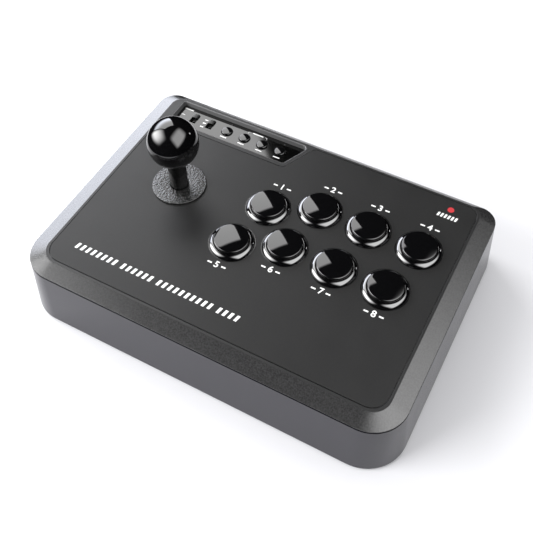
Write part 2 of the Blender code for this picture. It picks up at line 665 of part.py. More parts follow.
def make_button_switch(number, x, y):
    """Microswitch block under the barrel, with its two solder blades pointing down."""
    top = BARREL_BOTTOM - GAP
    low = top - MICROSWITCH_HEIGHT
    place = (x, y, 0.0)
    switch = box(f"button_switch_{number}", (-MICROSWITCH_X, -MICROSWITCH_Y, low),
                 (MICROSWITCH_X, MICROSWITCH_Y, top), "inner_black", place)
    blade = Vector((BLADE_THICKNESS, BLADE_WIDTH, BLADE_LENGTH + EMBED))
    for side, name in ((-1, "left"), (1, "right")):
        corner = Vector((side * BLADE_X, 0.0, low - BLADE_LENGTH)) - Vector((*blade.xy, 0.0)) / 2
        join(switch, box(f"blade_{number}_{name}", corner, corner + blade, location=place))


# ---------------------------------------------------------------- stick

def make_stick_pivot():
    """Empty at the crossing of the two tilt axes; every piece of the lever hangs from it."""
    pivot = bpy.data.objects.new("stick_pivot", None)
    bpy.context.scene.collection.objects.link(pivot)
    pivot.location = (STICK_X, STICK_Y, PIVOT_Z)
    return pivot


def make_lever(pivot):
    drop = (0.0, 0.0, -PIVOT_Z)
    make_ball(pivot, drop)
    cylinder("stick_shaft", SHAFT_RADIUS, SHAFT_BOTTOM, SHAFT_TOP, "steel", drop, pivot, steps=20)
    cover_top = BALL_Z - sqrt(BALL_RADIUS ** 2 - BALL_FLAT_RADIUS ** 2) - GAP
    tube("shaft_cover", SHAFT_RADIUS + GAP, COVER_RADIUS, COVER_BOTTOM, cover_top, "grained_black",
         drop, pivot)
    make_pivot_hub(pivot, drop)
    tube("switch_actuator", SHAFT_RADIUS + GAP, ACTUATOR_RADIUS, 9.7 * MM, 15.6 * MM,
         "inner_white", drop, pivot)
    tube("retaining_clip", SHAFT_RADIUS + GAP / 3, 4.8 * MM, 8.9 * MM, 9.4 * MM, "zinc_steel",
         drop, pivot)


def make_ball(pivot, drop):
    """Ball with a small flat underneath and a blind bore for the shaft."""
    flat_angle = -90.0 + 180.0 / pi * (BALL_FLAT_RADIUS / BALL_RADIUS)
    skin = arc((0.0, BALL_Z), flat_angle, 90.0, BALL_RADIUS, 12)
    bore = SHAFT_RADIUS + GAP
    bore_top = SHAFT_TOP + GAP
    profile = [(0.0, bore_top), (bore, bore_top), (bore, skin[0][1])] + skin[:-1]
    profile.append((0.0, BALL_Z + BALL_RADIUS))
    turned("ball_top", profile, "gloss_black", drop, pivot, steps=28)


def make_pivot_hub(pivot, drop):
    """Round hub clamped on the shaft, with two pins along Y that sit in the gimbal ring."""
    bore = SHAFT_RADIUS + GAP
    edge = sqrt(HUB_RADIUS ** 2 - bore ** 2)
    angle = 180.0 / pi * (edge / HUB_RADIUS)
    skin = arc((0.0, PIVOT_Z), -angle, angle, HUB_RADIUS, 6)
    profile = [(bore, skin[0][1])] + skin + [(bore, skin[-1][1])]
    hub = turned("pivot_hub", profile, "inner_white", drop, pivot)
    for side, name in ((-1, "front"), (1, "rear")):
        pin = cross_pin(f"hub_pin_{name}", PIN_RADIUS, side * 12.2 * MM, "Y", (0.0, 0.0, 0.0),
                        pivot, start=side * 6.0 * MM)
        join(hub, pin)


def make_gimbal_ring():
    """Ring that turns about X in the case and carries the hub's pins along Y."""
    low, high = PIVOT_Z - RING_HALF_HEIGHT, PIVOT_Z + RING_HALF_HEIGHT
    ring = tube("gimbal_ring", RING_BORE, RING_RADIUS, low, high, "inner_black",
                (STICK_X, STICK_Y, 0.0))
    place = (STICK_X, STICK_Y, PIVOT_Z)
    for side, name in ((-1, "left"), (1, "right")):
        join(ring, cross_pin(f"ring_pin_{name}", PIN_RADIUS, side * 18.0 * MM, "X", place,
                             start=side * 11.0 * MM))
    bore = PIN_RADIUS + GAP
    cut(ring, cross_pin("ring_bearing_rear", bore, 16.0 * MM, "Y", place, start=7.0 * MM),
        cross_pin("ring_bearing_front", bore, -16.0 * MM, "Y", place, start=-7.0 * MM))
    return ring


def make_dust_washers():
    place = (STICK_X, STICK_Y, 0.0)
    low = PANEL_TOP + GAP
    bore = COVER_RADIUS + 0.35 * MM
    edge = 0.3 * MM
    high = low + DUST_THICKNESS
    profile = [(bore, low), (DUST_RADIUS, low), (DUST_RADIUS, high - edge),
               (DUST_RADIUS - edge, high), (bore, high)]
    turned("dust_washer", profile, "grained_black", place, steps=32)
    tube("lower_dust_washer", LOWER_DUST_BORE, LOWER_DUST_RADIUS, LOWER_DUST_Z,
         LOWER_DUST_Z + 0.8 * MM, "inner_black", place)


def make_mounting_plate():
    """Pressed steel plate that hangs the mechanism under the deck."""
    half_x, half_y = MOUNT_SIZE[0] / 2, MOUNT_SIZE[1] / 2
    corner = 3.0 * MM
    corners = [(-half_x, -half_y, corner), (half_x, -half_y, corner),
               (half_x, half_y, corner), (-half_x, half_y, corner)]
    plate = prism("mounting_plate", corners, MOUNT_BOTTOM, MOUNT_TOP, "zinc_steel")
    plate.location = (STICK_X, STICK_Y, 0.0)
    below, above = MOUNT_BOTTOM - 1 * MM, MOUNT_TOP + 1 * MM
    cut(plate, cylinder("mount_bore", 11.0 * MM, below, above, location=plate.location))
    for index, (x, y) in enumerate(mount_hole_places()):
        cut(plate, cylinder(f"mount_hole_{index}", STAKE_RADIUS + GAP, below, above,
                            location=(x, y, 0.0), steps=FINE_STEPS))
    return plate


def mount_hole_places():
    return [(STICK_X + x * MOUNT_HOLE_X, STICK_Y + y * MOUNT_HOLE_Y)
            for x, y in ((-1, -1), (1, -1), (1, 1), (-1, 1))]


def make_joystick_case():
    """Open-topped box round the gimbal, with two bearing cheeks and a spring seat."""
    half_x, half_y = CASE_SIZE[0] / 2, CASE_SIZE[1] / 2
    top = MOUNT_BOTTOM - GAP
    floor = CASE_BOTTOM + 2.0 * MM
    place = (STICK_X, STICK_Y, 0.0)
    case = box("joystick_case", (-half_x, -half_y, CASE_BOTTOM), (half_x, half_y, top),
               "inner_black", place)
    cut(case, box("case_space", (-half_x + CASE_WALL, -half_y + CASE_WALL, floor),
                  (half_x - CASE_WALL, half_y - CASE_WALL, top + 1 * MM), location=place))
    for side, name in ((-1, "left"), (1, "right")):
        inner, outer = sorted((side * 15.0 * MM, side * 20.0 * MM))
        join(case, box(f"cheek_{name}", (inner, -5.0 * MM, floor - EMBED),
                       (outer, 5.0 * MM, PIVOT_Z + 5.0 * MM), location=place))
        cut(case, cross_pin(f"cheek_bore_{name}", PIN_RADIUS + GAP, side * 24.0 * MM, "X",
                            (STICK_X, STICK_Y, PIVOT_Z), start=side * 13.0 * MM))
    join(case, tube("spring_seat", CASE_BORE - EMBED, 10.0 * MM, floor - EMBED, floor + 1.5 * MM,
                    location=place))
    cut(case, cylinder("case_bore", CASE_BORE, CASE_BOTTOM - 1 * MM, floor + 3 * MM,
                       location=place))
    return case


def make_return_spring():
    """Coil that stands on the seat and bears on the underside of the round hub."""
    radius, wire, turns, per_turn = 7.4 * MM, 0.6 * MM, 3.5, 11
    low = CASE_BOTTOM + 3.5 * MM + GAP + wire
    hub_contact = PIVOT_Z - sqrt((HUB_RADIUS + wire + GAP) ** 2 - radius ** 2)
    count = int(turns * per_turn)
    curve = bpy.data.curves.new("coil_path", "CURVE")
    curve.dimensions = "3D"
    curve.bevel_depth = wire
    curve.bevel_resolution = 0
    curve.use_fill_caps = True
    path = curve.splines.new("POLY")
    path.points.add(count)
    for index in range(count + 1):
        angle = 2 * pi * index / per_turn
        height = low + (hub_contact - low) * index / count
        path.points[index].co = (radius * cos(angle), radius * sin(angle), height, 1.0)
    spring = bpy.data.objects.new("return_spring", curve)
    bpy.context.scene.collection.objects.link(spring)
    spring.location = (STICK_X, STICK_Y, 0.0)
    curve.materials.append(finish_material("return_spring", "steel"))
    return spring


def make_switch_board():
    """Board under the case with the four lever switches round the actuator."""
    place = (STICK_X, STICK_Y, 0.0)
    half = 23.0 * MM
    high = CASE_BOTTOM - GAP
    low = high - BOARD_THICKNESS
    board = box("switch_board", (-half, -half, low), (half, half, high), "board_green", place)
    cut(board, cylinder("board_bore", 9.5 * MM, low - 1 * MM, high + 1 * MM, location=place))
    near, far, length, switch_low = 9.0 * MM, 15.4 * MM, 8.6 * MM, 9.4 * MM
    top = low + EMBED
    for name, (x0, y0, x1, y1) in {
            "right": (near, -length, far, length), "left": (-far, -length, -near, length),
            "rear": (-length, near, length, far), "front": (-length, -far, length, -near)}.items():
        join(board, box(f"stick_switch_{name}", (x0, y0, switch_low), (x1, y1, top), location=place))
    join(board, box("stick_plug", (-8.0 * MM, -22.0 * MM, 10.4 * MM), (8.0 * MM, -17.5 * MM, top),
                    location=place))
    return board


def make_restrictor_gate():
    """Square gate that stops the lever, on four short posts under the switch board."""
    place = (STICK_X, STICK_Y, 0.0)
    half, opening = GATE_HALF, GATE_OPENING
    gate = box("restrictor_gate", (-half, -half, GATE_BOTTOM), (half, half, GATE_TOP),
               "inner_white", place)
    cut(gate, box("gate_opening", (-opening, -opening, GATE_BOTTOM - 1 * MM),
                  (opening, opening, GATE_TOP + 1 * MM), location=place))
    post = 19.0 * MM
    post_top = CASE_BOTTOM - GAP - BOARD_THICKNESS - GAP
    for index, (x, y) in enumerate(((-post, -post), (post, -post), (post, post), (-post, post))):
        join(gate, cylinder(f"gate_post_{index}", 2.2 * MM, GATE_TOP - EMBED, post_top,
                            location=(STICK_X + x, STICK_Y + y, 0.0), steps=FINE_STEPS))
    return gate


def build():
    clear_scene()
    make_side_frame()
    make_bottom_plate()
    make_top_cover()
    make_panel_plate()
    make_feet_and_screws()
    make_cable_gland()
    make_main_board()
    make_control_board()
    make_small_buttons()
    make_slide_knobs()
    for number, (x, y) in enumerate(button_centres(), start=1):
        make_play_button(number, x, y)
    pivot = make_stick_pivot()
    make_lever(pivot)
    make_gimbal_ring()
    make_dust_washers()
    make_mounting_plate()
    make_joystick_case()
    make_return_spring()
    make_switch_board()
    make_restrictor_gate()


build()
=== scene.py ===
"""Looks of the arcade joystick panel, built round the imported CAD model.

Every length is in metres in the CAD's own frame: +X to the player's right, +Y away, +Z up.
"""
import json
from math import cos, pi, radians, sin, sqrt, tan

import bmesh
import bpy
from mathutils import Matrix, Vector


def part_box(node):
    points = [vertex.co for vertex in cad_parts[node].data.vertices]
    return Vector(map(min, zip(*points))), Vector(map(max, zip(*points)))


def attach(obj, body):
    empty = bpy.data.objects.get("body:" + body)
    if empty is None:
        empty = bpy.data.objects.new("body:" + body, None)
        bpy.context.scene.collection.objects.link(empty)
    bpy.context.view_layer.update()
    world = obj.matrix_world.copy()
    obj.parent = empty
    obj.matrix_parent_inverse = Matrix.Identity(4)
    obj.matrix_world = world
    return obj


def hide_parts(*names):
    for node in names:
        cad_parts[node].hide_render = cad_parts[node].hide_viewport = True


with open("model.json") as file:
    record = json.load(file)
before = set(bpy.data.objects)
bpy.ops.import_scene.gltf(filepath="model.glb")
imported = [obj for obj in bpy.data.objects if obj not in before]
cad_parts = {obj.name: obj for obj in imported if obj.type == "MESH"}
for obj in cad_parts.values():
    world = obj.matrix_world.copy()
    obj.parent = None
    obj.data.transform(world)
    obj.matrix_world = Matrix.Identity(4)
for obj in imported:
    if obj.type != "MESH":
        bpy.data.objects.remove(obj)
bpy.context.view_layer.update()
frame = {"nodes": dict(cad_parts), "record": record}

MM = 0.001
GAP = 0.3 * MM

# Housing outline and heights, as in the CAD.
SEAM_WIDTH, SEAM_DEPTH = 270.0 * MM, 189.4 * MM
FRONT_RADIUS, REAR_RADIUS = 23.6 * MM, 13.0 * MM
FLARE = 4.7 * MM
WALL_BOTTOM, SEAM_HEIGHT, PANEL_TOP = 1.5 * MM, 46.4 * MM, 50.1 * MM
WALL = 2.6 * MM
BEZEL_WIDTH, BEZEL_BACK, BEZEL_EDGE = 11.2 * MM, 4.4 * MM, 0.5 * MM
DECK_BOTTOM = 45.8 * MM
PLATE_BOTTOM, PLATE_TOP = 1.7 * MM, 3.9 * MM
CORNER_STEPS = 20
SMOOTH_ANGLE = radians(42.0)

# Panel, recess and what is set into them.
PANEL_THICKNESS = 1.5 * MM
PANEL_HALF_WIDTH, PANEL_FRONT, PANEL_BACK = 121.6 * MM, -81.3 * MM, 88.4 * MM
PANEL_NOTCH_Y = 61.6 * MM
PANEL_RADIUS, PANEL_REAR_RADIUS, NOTCH_RADIUS = 11.5 * MM, 8.0 * MM, 4.5 * MM
NOTCH_LOW_X, NOTCH_HIGH_X = -16.8 * MM, -4.6 * MM
RECESS_LEFT, RECESS_FRONT, RECESS_BACK = -116.0 * MM, 65.4 * MM, 88.0 * MM
RECESS_LOW_X, RECESS_HIGH_X = -18.8 * MM, -8.7 * MM
RECESS_RADIUS, RECESS_LEFT_RADIUS = 3.2 * MM, 1.5 * MM
RECESS_FLOOR, RECESS_UNDERSIDE = 46.1 * MM, 44.1 * MM
SMALL_BUTTON_X = [-72.6 * MM, -57.5 * MM, -42.5 * MM, -27.5 * MM]
SMALL_BUTTON_Y, SMALL_BUTTON_RADIUS, SMALL_BUTTON_RISE = 77.6 * MM, 4.1 * MM, 1.5 * MM
SWITCH_X, SWITCH_Y = [-101.7 * MM, -87.6 * MM], 78.2 * MM
SLOT_WIDTH, SLOT_LENGTH = 5.4 * MM, 9.2 * MM
LED_X, LED_Y, LED_RADIUS = [-72.9 * MM, -27.7 * MM], 86.0 * MM, 0.6 * MM
BUTTONS = [(-8.1, 23.4), (24.6, 37.7), (60.7, 37.7), (97.1, 37.6),
           (-15.4, -14.4), (17.8, -1.5), (53.9, -1.5), (89.9, -1.5)]
PLAY_HOLE_RADIUS = 14.1 * MM
STICK_X, STICK_Y = -74.0 * MM, 13.2 * MM
DECK_STICK_BORE, PANEL_STICK_BORE = 14.0 * MM, 12.0 * MM
BALL_RADIUS = 17.5 * MM
BALL_Z = PANEL_TOP + 41.3 * MM
BALL_STEPS = 48
RIM_STEPS = 12
GLAND_HEIGHT = 33.0 * MM

# Printed marks: how thick the ink is, how high it floats, and where the numerals stand.
INK = 0.04 * MM
INK_LIFT = 0.01 * MM
DIGIT_SIZE, DIGIT_WEIGHT = 6.8 * MM, 0.13 * MM
DIGITS = [(-8.2, 44.5), (24.8, 58.7), (60.6, 58.7), (96.8, 58.7),
          (-15.3, -34.8), (17.8, -21.8), (54.0, -21.8), (90.6, -21.8)]

# Studio. The floor's disc near the housing shows in reflections, the ring round it doesn't.
WHITE, COOL_WHITE = (1.0, 1.0, 1.0, 1.0), (0.93, 0.965, 1.07, 1.0)
FLOOR_COLOUR = (0.765, 0.765, 0.79, 1.0)
NEAR_FLOOR, FAR_FLOOR = 270 * MM, 12000 * MM
FLOOR_STEPS = 64


# ---------------------------------------------------------------- materials

def add_node(tree, kind, **inputs):
    made = tree.nodes.new(kind)
    for name, value in inputs.items():
        made.inputs[name.replace("_", " ")].default_value = value
    return made


def plastic(name, colour, roughness, grain=0.35 * MM, height=0.012 * MM, spread=0.06,
            mottle=0.06, level=0.5, ior=1.5):
    """Moulded plastic: a fine skin texture, with colour and roughness that wander a little."""
    made = bpy.data.materials.new(name)
    made.use_nodes = True
    tree = made.node_tree
    shader = tree.nodes["Principled BSDF"]
    shader.inputs["IOR"].default_value = ior
    shader.inputs["Specular IOR Level"].default_value = level
    position = tree.nodes.new("ShaderNodeTexCoord").outputs["Object"]

    skin = add_node(tree, "ShaderNodeTexNoise", Scale=1.0 / grain)
    tree.links.new(position, skin.inputs["Vector"])
    bump = add_node(tree, "ShaderNodeBump", Strength=1.0, Distance=height)
    tree.links.new(skin.outputs["Fac"], bump.inputs["Height"])
    tree.links.new(bump.outputs["Normal"], shader.inputs["Normal"])

    wander = add_node(tree, "ShaderNodeTexNoise", Scale=60.0, Detail=4.0)
    tree.links.new(position, wander.inputs["Vector"])
    rough = add_node(tree, "ShaderNodeMapRange", To_Min=max(roughness - spread, 0.01),
                     To_Max=roughness + spread)
    tree.links.new(wander.outputs["Fac"], rough.inputs["Value"])
    tree.links.new(rough.outputs["Result"], shader.inputs["Roughness"])

    ramp = tree.nodes.new("ShaderNodeValToRGB")
    for element, share in zip(ramp.color_ramp.elements, (1.0 - mottle, 1.0 + mottle)):
        element.color = (*(min(channel * share, 1.0) for channel in colour), 1.0)
    ramp.color_ramp.elements[0].position = 0.35
    ramp.color_ramp.elements[1].position = 0.65
    tree.links.new(skin.outputs["Fac"], ramp.inputs["Fac"])
    tree.links.new(ramp.outputs["Color"], shader.inputs["Base Color"])
    return made


def metal(name, colour, roughness, grain=0.3 * MM):
    made = plastic(name, colour, roughness, grain=grain, height=0.004 * MM)
    made.node_tree.nodes["Principled BSDF"].inputs["Metallic"].default_value = 1.0
    return made


BEZEL = plastic("bezel_plastic", (0.024, 0.024, 0.0245), 0.205, grain=1.0 * MM,
                height=0.045 * MM, spread=0.03, mottle=0.30)
SHELL = plastic("shell_plastic", (0.0175, 0.0168, 0.0225), 0.21, grain=0.90 * MM,
                height=0.022 * MM, spread=0.03, mottle=0.20, ior=1.46)
PANEL = plastic("panel_satin", (0.009, 0.009, 0.009), 0.42, grain=0.60 * MM,
                height=0.010 * MM, mottle=0.12, level=0.20)
INLAY = plastic("recess_inlay", (0.002, 0.002, 0.002), 0.055, grain=0.60 * MM,
                height=0.0006 * MM, spread=0.015)
GLOSS = plastic("gloss_plastic", (0.0025, 0.0025, 0.0028), 0.035, grain=2.5 * MM,
                height=0.0004 * MM, spread=0.01)
RIM_GLOSS = plastic("rim_gloss", (0.0025, 0.0025, 0.0028), 0.035, grain=2.5 * MM,
                    height=0.001 * MM, spread=0.01, ior=1.85)
# The level rim round the panel is bezel plastic; its darker colour here is painted shade.
LIP_PAINTED_SHADE = plastic("bezel_lip_painted_shade", (0.011, 0.011, 0.0112), 0.40, grain=0.8 * MM, height=0.012 * MM,
              mottle=0.12, level=0.24)
GRIP = plastic("grip_plastic", (0.002, 0.002, 0.002), 0.14, grain=0.5 * MM, height=0.002 * MM,
               level=0.5)
# Lighter grey on the recess walls is painted light: it brightens walls that sit in shade inside
# the recess.
RECESS_WALL_PAINTED_LIGHT = plastic("recess_wall_painted_light", (0.095, 0.095, 0.097), 0.35, grain=0.8 * MM,
                      height=0.02 * MM)
GRAINED = plastic("grained_plastic", (0.007, 0.007, 0.007), 0.075, grain=1.35 * MM,
                  height=0.72 * MM, mottle=0.5)
COVER = plastic("cover_plastic", (0.002, 0.002, 0.002), 0.13, grain=1.5 * MM,
                height=0.06 * MM, mottle=0.3)
RUBBER = plastic("rubber", (0.014, 0.014, 0.014), 0.75, grain=0.5 * MM, height=0.03 * MM)
INNER_BLACK = plastic("inner_black_plastic", (0.02, 0.02, 0.02), 0.55)
INNER_WHITE = plastic("inner_white_plastic", (0.62, 0.62, 0.59), 0.45, mottle=0.02)
BOARD = plastic("solder_mask", (0.012, 0.10, 0.035), 0.38, grain=1.2 * MM, mottle=0.15)
STEEL = metal("ground_steel", (0.55, 0.56, 0.57), 0.24)
ZINC = metal("zinc_plating", (0.42, 0.43, 0.45), 0.36, grain=0.9 * MM)
WHITE_INK = plastic("white_ink", (0.80, 0.80, 0.80), 0.45, grain=0.2 * MM, height=0.002 * MM,
                    mottle=0.02)
RED_INK = plastic("red_ink", (0.42, 0.004, 0.010), 0.45, grain=0.2 * MM, height=0.002 * MM,
                  mottle=0.05)


# ---------------------------------------------------------------- mesh helpers

def shade(mesh):
    """Smooth shading that stays sharp across real edges."""
    mesh.shade_smooth()
    mesh.set_sharp_from_angle(angle=SMOOTH_ANGLE)


def finish_mesh(name, shape, material):
    """Turn a bmesh into an object in the scene."""
    bmesh.ops.recalc_face_normals(shape, faces=shape.faces)
    mesh = bpy.data.meshes.new(name)
    shape.to_mesh(mesh)
    shape.free()
    shade(mesh)
    made = bpy.data.objects.new(name, mesh)
    bpy.context.scene.collection.objects.link(made)
    if material:
        mesh.materials.append(material)
    return made


def fillet(points, radii, steps=6, closed=False):
    """Round the corners of a polyline, in any number of dimensions."""
    points = [Vector(point) for point in points]
    last = len(points) - 1
    made = []
    for index, (corner, radius) in enumerate(zip(points, radii)):
        if radius == 0.0 or (not closed and index in (0, last)):
            made.append(corner)
            continue
        before = (points[index - 1] - corner).normalized()
        after = (points[(index + 1) % len(points)] - corner).normalized()
        half = before.angle(after) / 2
        middle = (before + after).normalized()
        centre = corner + middle * (radius / sin(half))
        start = corner + before * (radius / tan(half)) - centre
        end = corner + after * (radius / tan(half)) - centre
        sweep = start.angle(end)
        for step in range(steps + 1):
            share = step / steps
            made.append(centre + (start * sin((1 - share) * sweep) + end * sin(share * sweep))
                        / sin(sweep))
    return made


def turned(name, profile, material, centre=(0.0, 0.0), steps=64, radii=None, round_steps=5):
    """Spin (radius, height) points round an upright axis; off the axis it closes on itself."""
    on_axis = profile[0][0] == 0.0 and profile[-1][0] == 0.0
    if radii:
        profile = fillet(profile, radii, round_steps, closed=not on_axis)
    shape = bmesh.new()
    rings = []
    for radius, height in profile:
        if radius < 1e-9:
            rings.append([shape.verts.new((centre[0], centre[1], height))])
            continue
        angles = [2 * pi * step / steps for step in range(steps)]
        rings.append([shape.verts.new((centre[0] + radius * cos(angle),
                                       centre[1] + radius * sin(angle), height))
                      for angle in angles])
    pairs = list(zip(rings, rings[1:]))
    if not on_axis:
        pairs.append((rings[-1], rings[0]))
    for low, high in pairs:
        for step in range(steps):
            after = (step + 1) % steps
            corners = [low[step % len(low)], low[after % len(low)],
                       high[after % len(high)], high[step % len(high)]]
            unique = list(dict.fromkeys(corners))
            if len(unique) > 2:
                shape.faces.new(unique)
    return finish_mesh(name, shape, material)


def rounded_ring(corners, height, steps=CORNER_STEPS):
    """Points round a polygon whose (x, y, radius) corners run anticlockwise."""
    ring = []
    for index, (x, y, radius) in enumerate(corners):
        corner = Vector((x, y))
        inward = (corner - Vector(corners[index - 1][:2])).normalized()
        outward = (Vector(corners[(index + 1) % len(corners)][:2]) - corner).normalized()
        turn = -inward.angle_signed(outward, 0.0)
        side = 1.0 if turn > 0 else -1.0
        start = corner - inward * radius * tan(abs(turn) / 2)
        centre = start + Vector((-inward.y, inward.x)) * side * radius
        for step in range(steps + 1):
            spoke = start - centre
            spoke.rotate(Matrix.Rotation(turn * step / steps, 2))
            ring.append((centre.x + spoke.x, centre.y + spoke.y, height))
    return ring


def loft(name, rings, material, closed=False):
    """Skin a stack of rings, capped at both ends or closed on itself."""
    shape = bmesh.new()
    loops = [[shape.verts.new(point) for point in ring] for ring in rings]
    pairs = list(zip(loops, loops[1:]))
    if closed:
        pairs.append((loops[-1], loops[0]))
    else:
        shape.faces.new(loops[0])
        shape.faces.new(loops[-1])
    for low, high in pairs:
        for index in range(len(low)):
            after = (index + 1) % len(low)
            shape.faces.new((low[index], low[after], high[after], high[index]))
    return finish_mesh(name, shape, material)


def housing_ring(inset, back_inset, height):
    """The housing's outline, moved in from the seam by inset and by back_inset at the rear."""
    half_width = SEAM_WIDTH / 2 - inset
    front, back = -SEAM_DEPTH / 2 + inset, SEAM_DEPTH / 2 - back_inset
    front_radius = max(FRONT_RADIUS - inset, 3.0 * MM)
    rear_radius = max(REAR_RADIUS - back_inset, 3.0 * MM)
    corners = [(-half_width, front, front_radius), (half_width, front, front_radius),
               (half_width, back, rear_radius), (-half_width, back, rear_radius)]
    return rounded_ring(corners, height)


def slanted_shift(low_x, high_x, length, grow):
    """How far both ends of a slanted side move along X when the side moves out by grow."""
    slope = (high_x - low_x) / length
    stretch = sqrt(1.0 + slope ** 2)
    return grow * (stretch - slope), grow * (stretch + slope)


def panel_corners(grow):
    """Outline of the panel sheet, with its notch round the recess, made larger by grow."""
    right, front, back = PANEL_HALF_WIDTH + grow, PANEL_FRONT - grow, PANEL_BACK + grow
    notch_y = PANEL_NOTCH_Y + grow
    shift, _ = slanted_shift(NOTCH_LOW_X, NOTCH_HIGH_X, PANEL_BACK - PANEL_NOTCH_Y, grow)
    return [(-right, front, PANEL_RADIUS + grow), (right, front, PANEL_RADIUS + grow),
            (right, back, PANEL_REAR_RADIUS + grow),
            (NOTCH_HIGH_X - shift, back, NOTCH_RADIUS + grow),
            (NOTCH_LOW_X - shift, notch_y, NOTCH_RADIUS - grow),
            (-right, notch_y, NOTCH_RADIUS + grow)]


def recess_corners(grow):
    """Outline of the control recess, made larger by grow."""
    low_shift, high_shift = slanted_shift(RECESS_LOW_X, RECESS_HIGH_X,
                                          RECESS_BACK - RECESS_FRONT, grow)
    left_radius = max(RECESS_LEFT_RADIUS + grow, 0.6 * MM)
    return [(RECESS_LEFT - grow, RECESS_FRONT - grow, left_radius),
            (RECESS_LOW_X + low_shift, RECESS_FRONT - grow, RECESS_RADIUS + grow),
            (RECESS_HIGH_X + high_shift, RECESS_BACK + grow, RECESS_RADIUS + grow),
            (RECESS_LEFT - grow, RECESS_BACK + grow, left_radius)]


def prism(name, outline, profile, material, steps=10):
    """Stack of outlines; profile lists how much each grows and how high it lies."""
    rings = [rounded_ring(outline(grow), height, steps) for grow, height in profile]
    return loft(name, rings, material)


def rod(name, centre, radius, low, high, steps, material=None):
    """Plain upright cylinder."""
    profile = [(0.0, low), (radius, low), (radius, high), (0.0, high)]
    return turned(name, profile, material, centre, steps=steps)


def rounded_box(name, low, high, radius, material=None):
    shape = bmesh.new()
    low, high = Vector(low), Vector(high)
    stretch = Matrix.Translation((low + high) / 2) @ Matrix.Diagonal((*(high - low), 1.0))
    bmesh.ops.create_cube(shape, size=1.0, matrix=stretch)
    if radius:
        bmesh.ops.bevel(shape, geom=shape.edges[:], offset=radius, segments=3, profile=0.5,
                        affect="EDGES")
    return finish_mesh(name, shape, material)


def merge(name, *parts):
    """One object from several that don't touch, with the first one's material."""
    shape = bmesh.new()
    for part in parts:
        shape.from_mesh(part.data)
    materials = list(parts[0].data.materials)
    for part in parts:
        bpy.data.objects.remove(part)
    made = finish_mesh(name, shape, None)
    for material in materials:
        made.data.materials.append(material)
    return made


def combine(target, operation, tools):
    for tool in tools:
        step = target.modifiers.new(tool.name, "BOOLEAN")
        step.solver, step.operation, step.object = "EXACT", operation, tool
    graph = bpy.context.evaluated_depsgraph_get()
    mesh = bpy.data.meshes.new_from_object(target.evaluated_get(graph))
    target.modifiers.clear()
    target.data = mesh
    for tool in tools:
        bpy.data.objects.remove(tool)
    shade(mesh)
    return target


def carve(target, *cutters):
    """Cut closed shapes out of a mesh for good."""
    return combine(target, "DIFFERENCE", cutters)


def fuse(target, *parts):
    """Add closed shapes to a mesh for good."""
    return combine(target, "UNION", parts)


def even_shading(piece):
    """Let the large flat faces keep their own normals beside their rounded edges."""
    step = piece.modifiers.new("even_shading", "WEIGHTED_NORMAL")
    step.keep_sharp = True
    step.weight = 100
    return piece


def place(piece, body, slot, *nodes):
    """Put a piece on its body and hide the CAD nodes that it stands for; slot is not used."""
    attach(piece, body)
    if nodes:
        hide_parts(*nodes)


# ---------------------------------------------------------------- housing

def flare_at(height):
    """How far the leaning wall stands out beyond the seam at a height."""
    wall_top = SEAM_HEIGHT - GAP / 2
    return FLARE * (wall_top - height) / (wall_top - WALL_BOTTOM)


def wall_frame():
    """Flared wall ring with eased edges and the cord's hole."""
    wall_top = SEAM_HEIGHT - GAP / 2
    reveal, reveal_floor = wall_top - 1.1 * MM, wall_top - 3.0 * MM
    edge = -flare_at(reveal)
    shelf_low, shelf_high, shelf = PLATE_TOP + GAP, PLATE_TOP + GAP + 2.0 * MM, 2.2 * MM
    inner_low, rebate = WALL - flare_at(shelf_high), WALL - flare_at(WALL_BOTTOM)
    profile = [(-FLARE, WALL_BOTTOM), (edge, reveal), (edge + 0.12 * MM, reveal),
               (edge + 0.35 * MM, reveal_floor), (1.5 * MM, reveal_floor), (1.5 * MM, wall_top),
               (WALL, wall_top), (inner_low, shelf_high),
               (inner_low + shelf, shelf_high), (inner_low + shelf, shelf_low),
               (rebate, shelf_low), (rebate, WALL_BOTTOM)]
    radii = [0.8 * MM, 0.06 * MM, 0.04 * MM] + [0.0] * 8 + [0.2 * MM]
    rings = [housing_ring(inset, inset, height)
             for inset, height in fillet(profile, radii, 5, closed=True)]
    walls = loft("wall_frame", rings, SHELL, closed=True)
    hole = rod("gland_hole", (0.0, 0.0), 4.1 * MM, -8.0 * MM, 6.0 * MM, 48)
    hole.matrix_world = gland_place()
    place(even_shading(carve(walls, hole)), "housing", "shell", "side_frame")


def gland_place():
    """Middle of the rear wall, turned so that local Z looks out square to the leaning face."""
    rear_face = SEAM_DEPTH / 2 + flare_at(GLAND_HEIGHT)
    lean = FLARE / (SEAM_HEIGHT - WALL_BOTTOM)
    tilt = Matrix.Rotation(-radians(90.0) + lean, 4, "X")
    return Matrix.Translation((0.0, rear_face, GLAND_HEIGHT)) @ tilt


def cable_gland():
    """Ribbed rubber bush in the rear wall, open for the cord."""
    bore, body, flange, nut = 1.9 * MM, 3.8 * MM, 6.0 * MM, 5.2 * MM
    inside, outside = -WALL - GAP, GAP
    collar, nose = outside + 1.0 * MM, outside + 2.4 * MM
    profile = [(bore, inside - 1.6 * MM), (nut, inside - 1.6 * MM), (nut, inside),
               (body, inside), (body, outside), (flange, outside), (flange, collar),
               (body + 1.2 * MM, collar + 0.15 * MM), (body + 0.6 * MM, nose), (bore, nose)]
    radii = [0.0, 0.2 * MM, 0.0, 0.0, 0.0, 0.15 * MM, 0.45 * MM, 0.0, 0.4 * MM, 0.35 * MM]
    gland = turned("cord_gland", profile, RUBBER, steps=64, radii=radii)
    gland.data.transform(gland_place())
    place(gland, "housing", "rubber", "cable_gland")


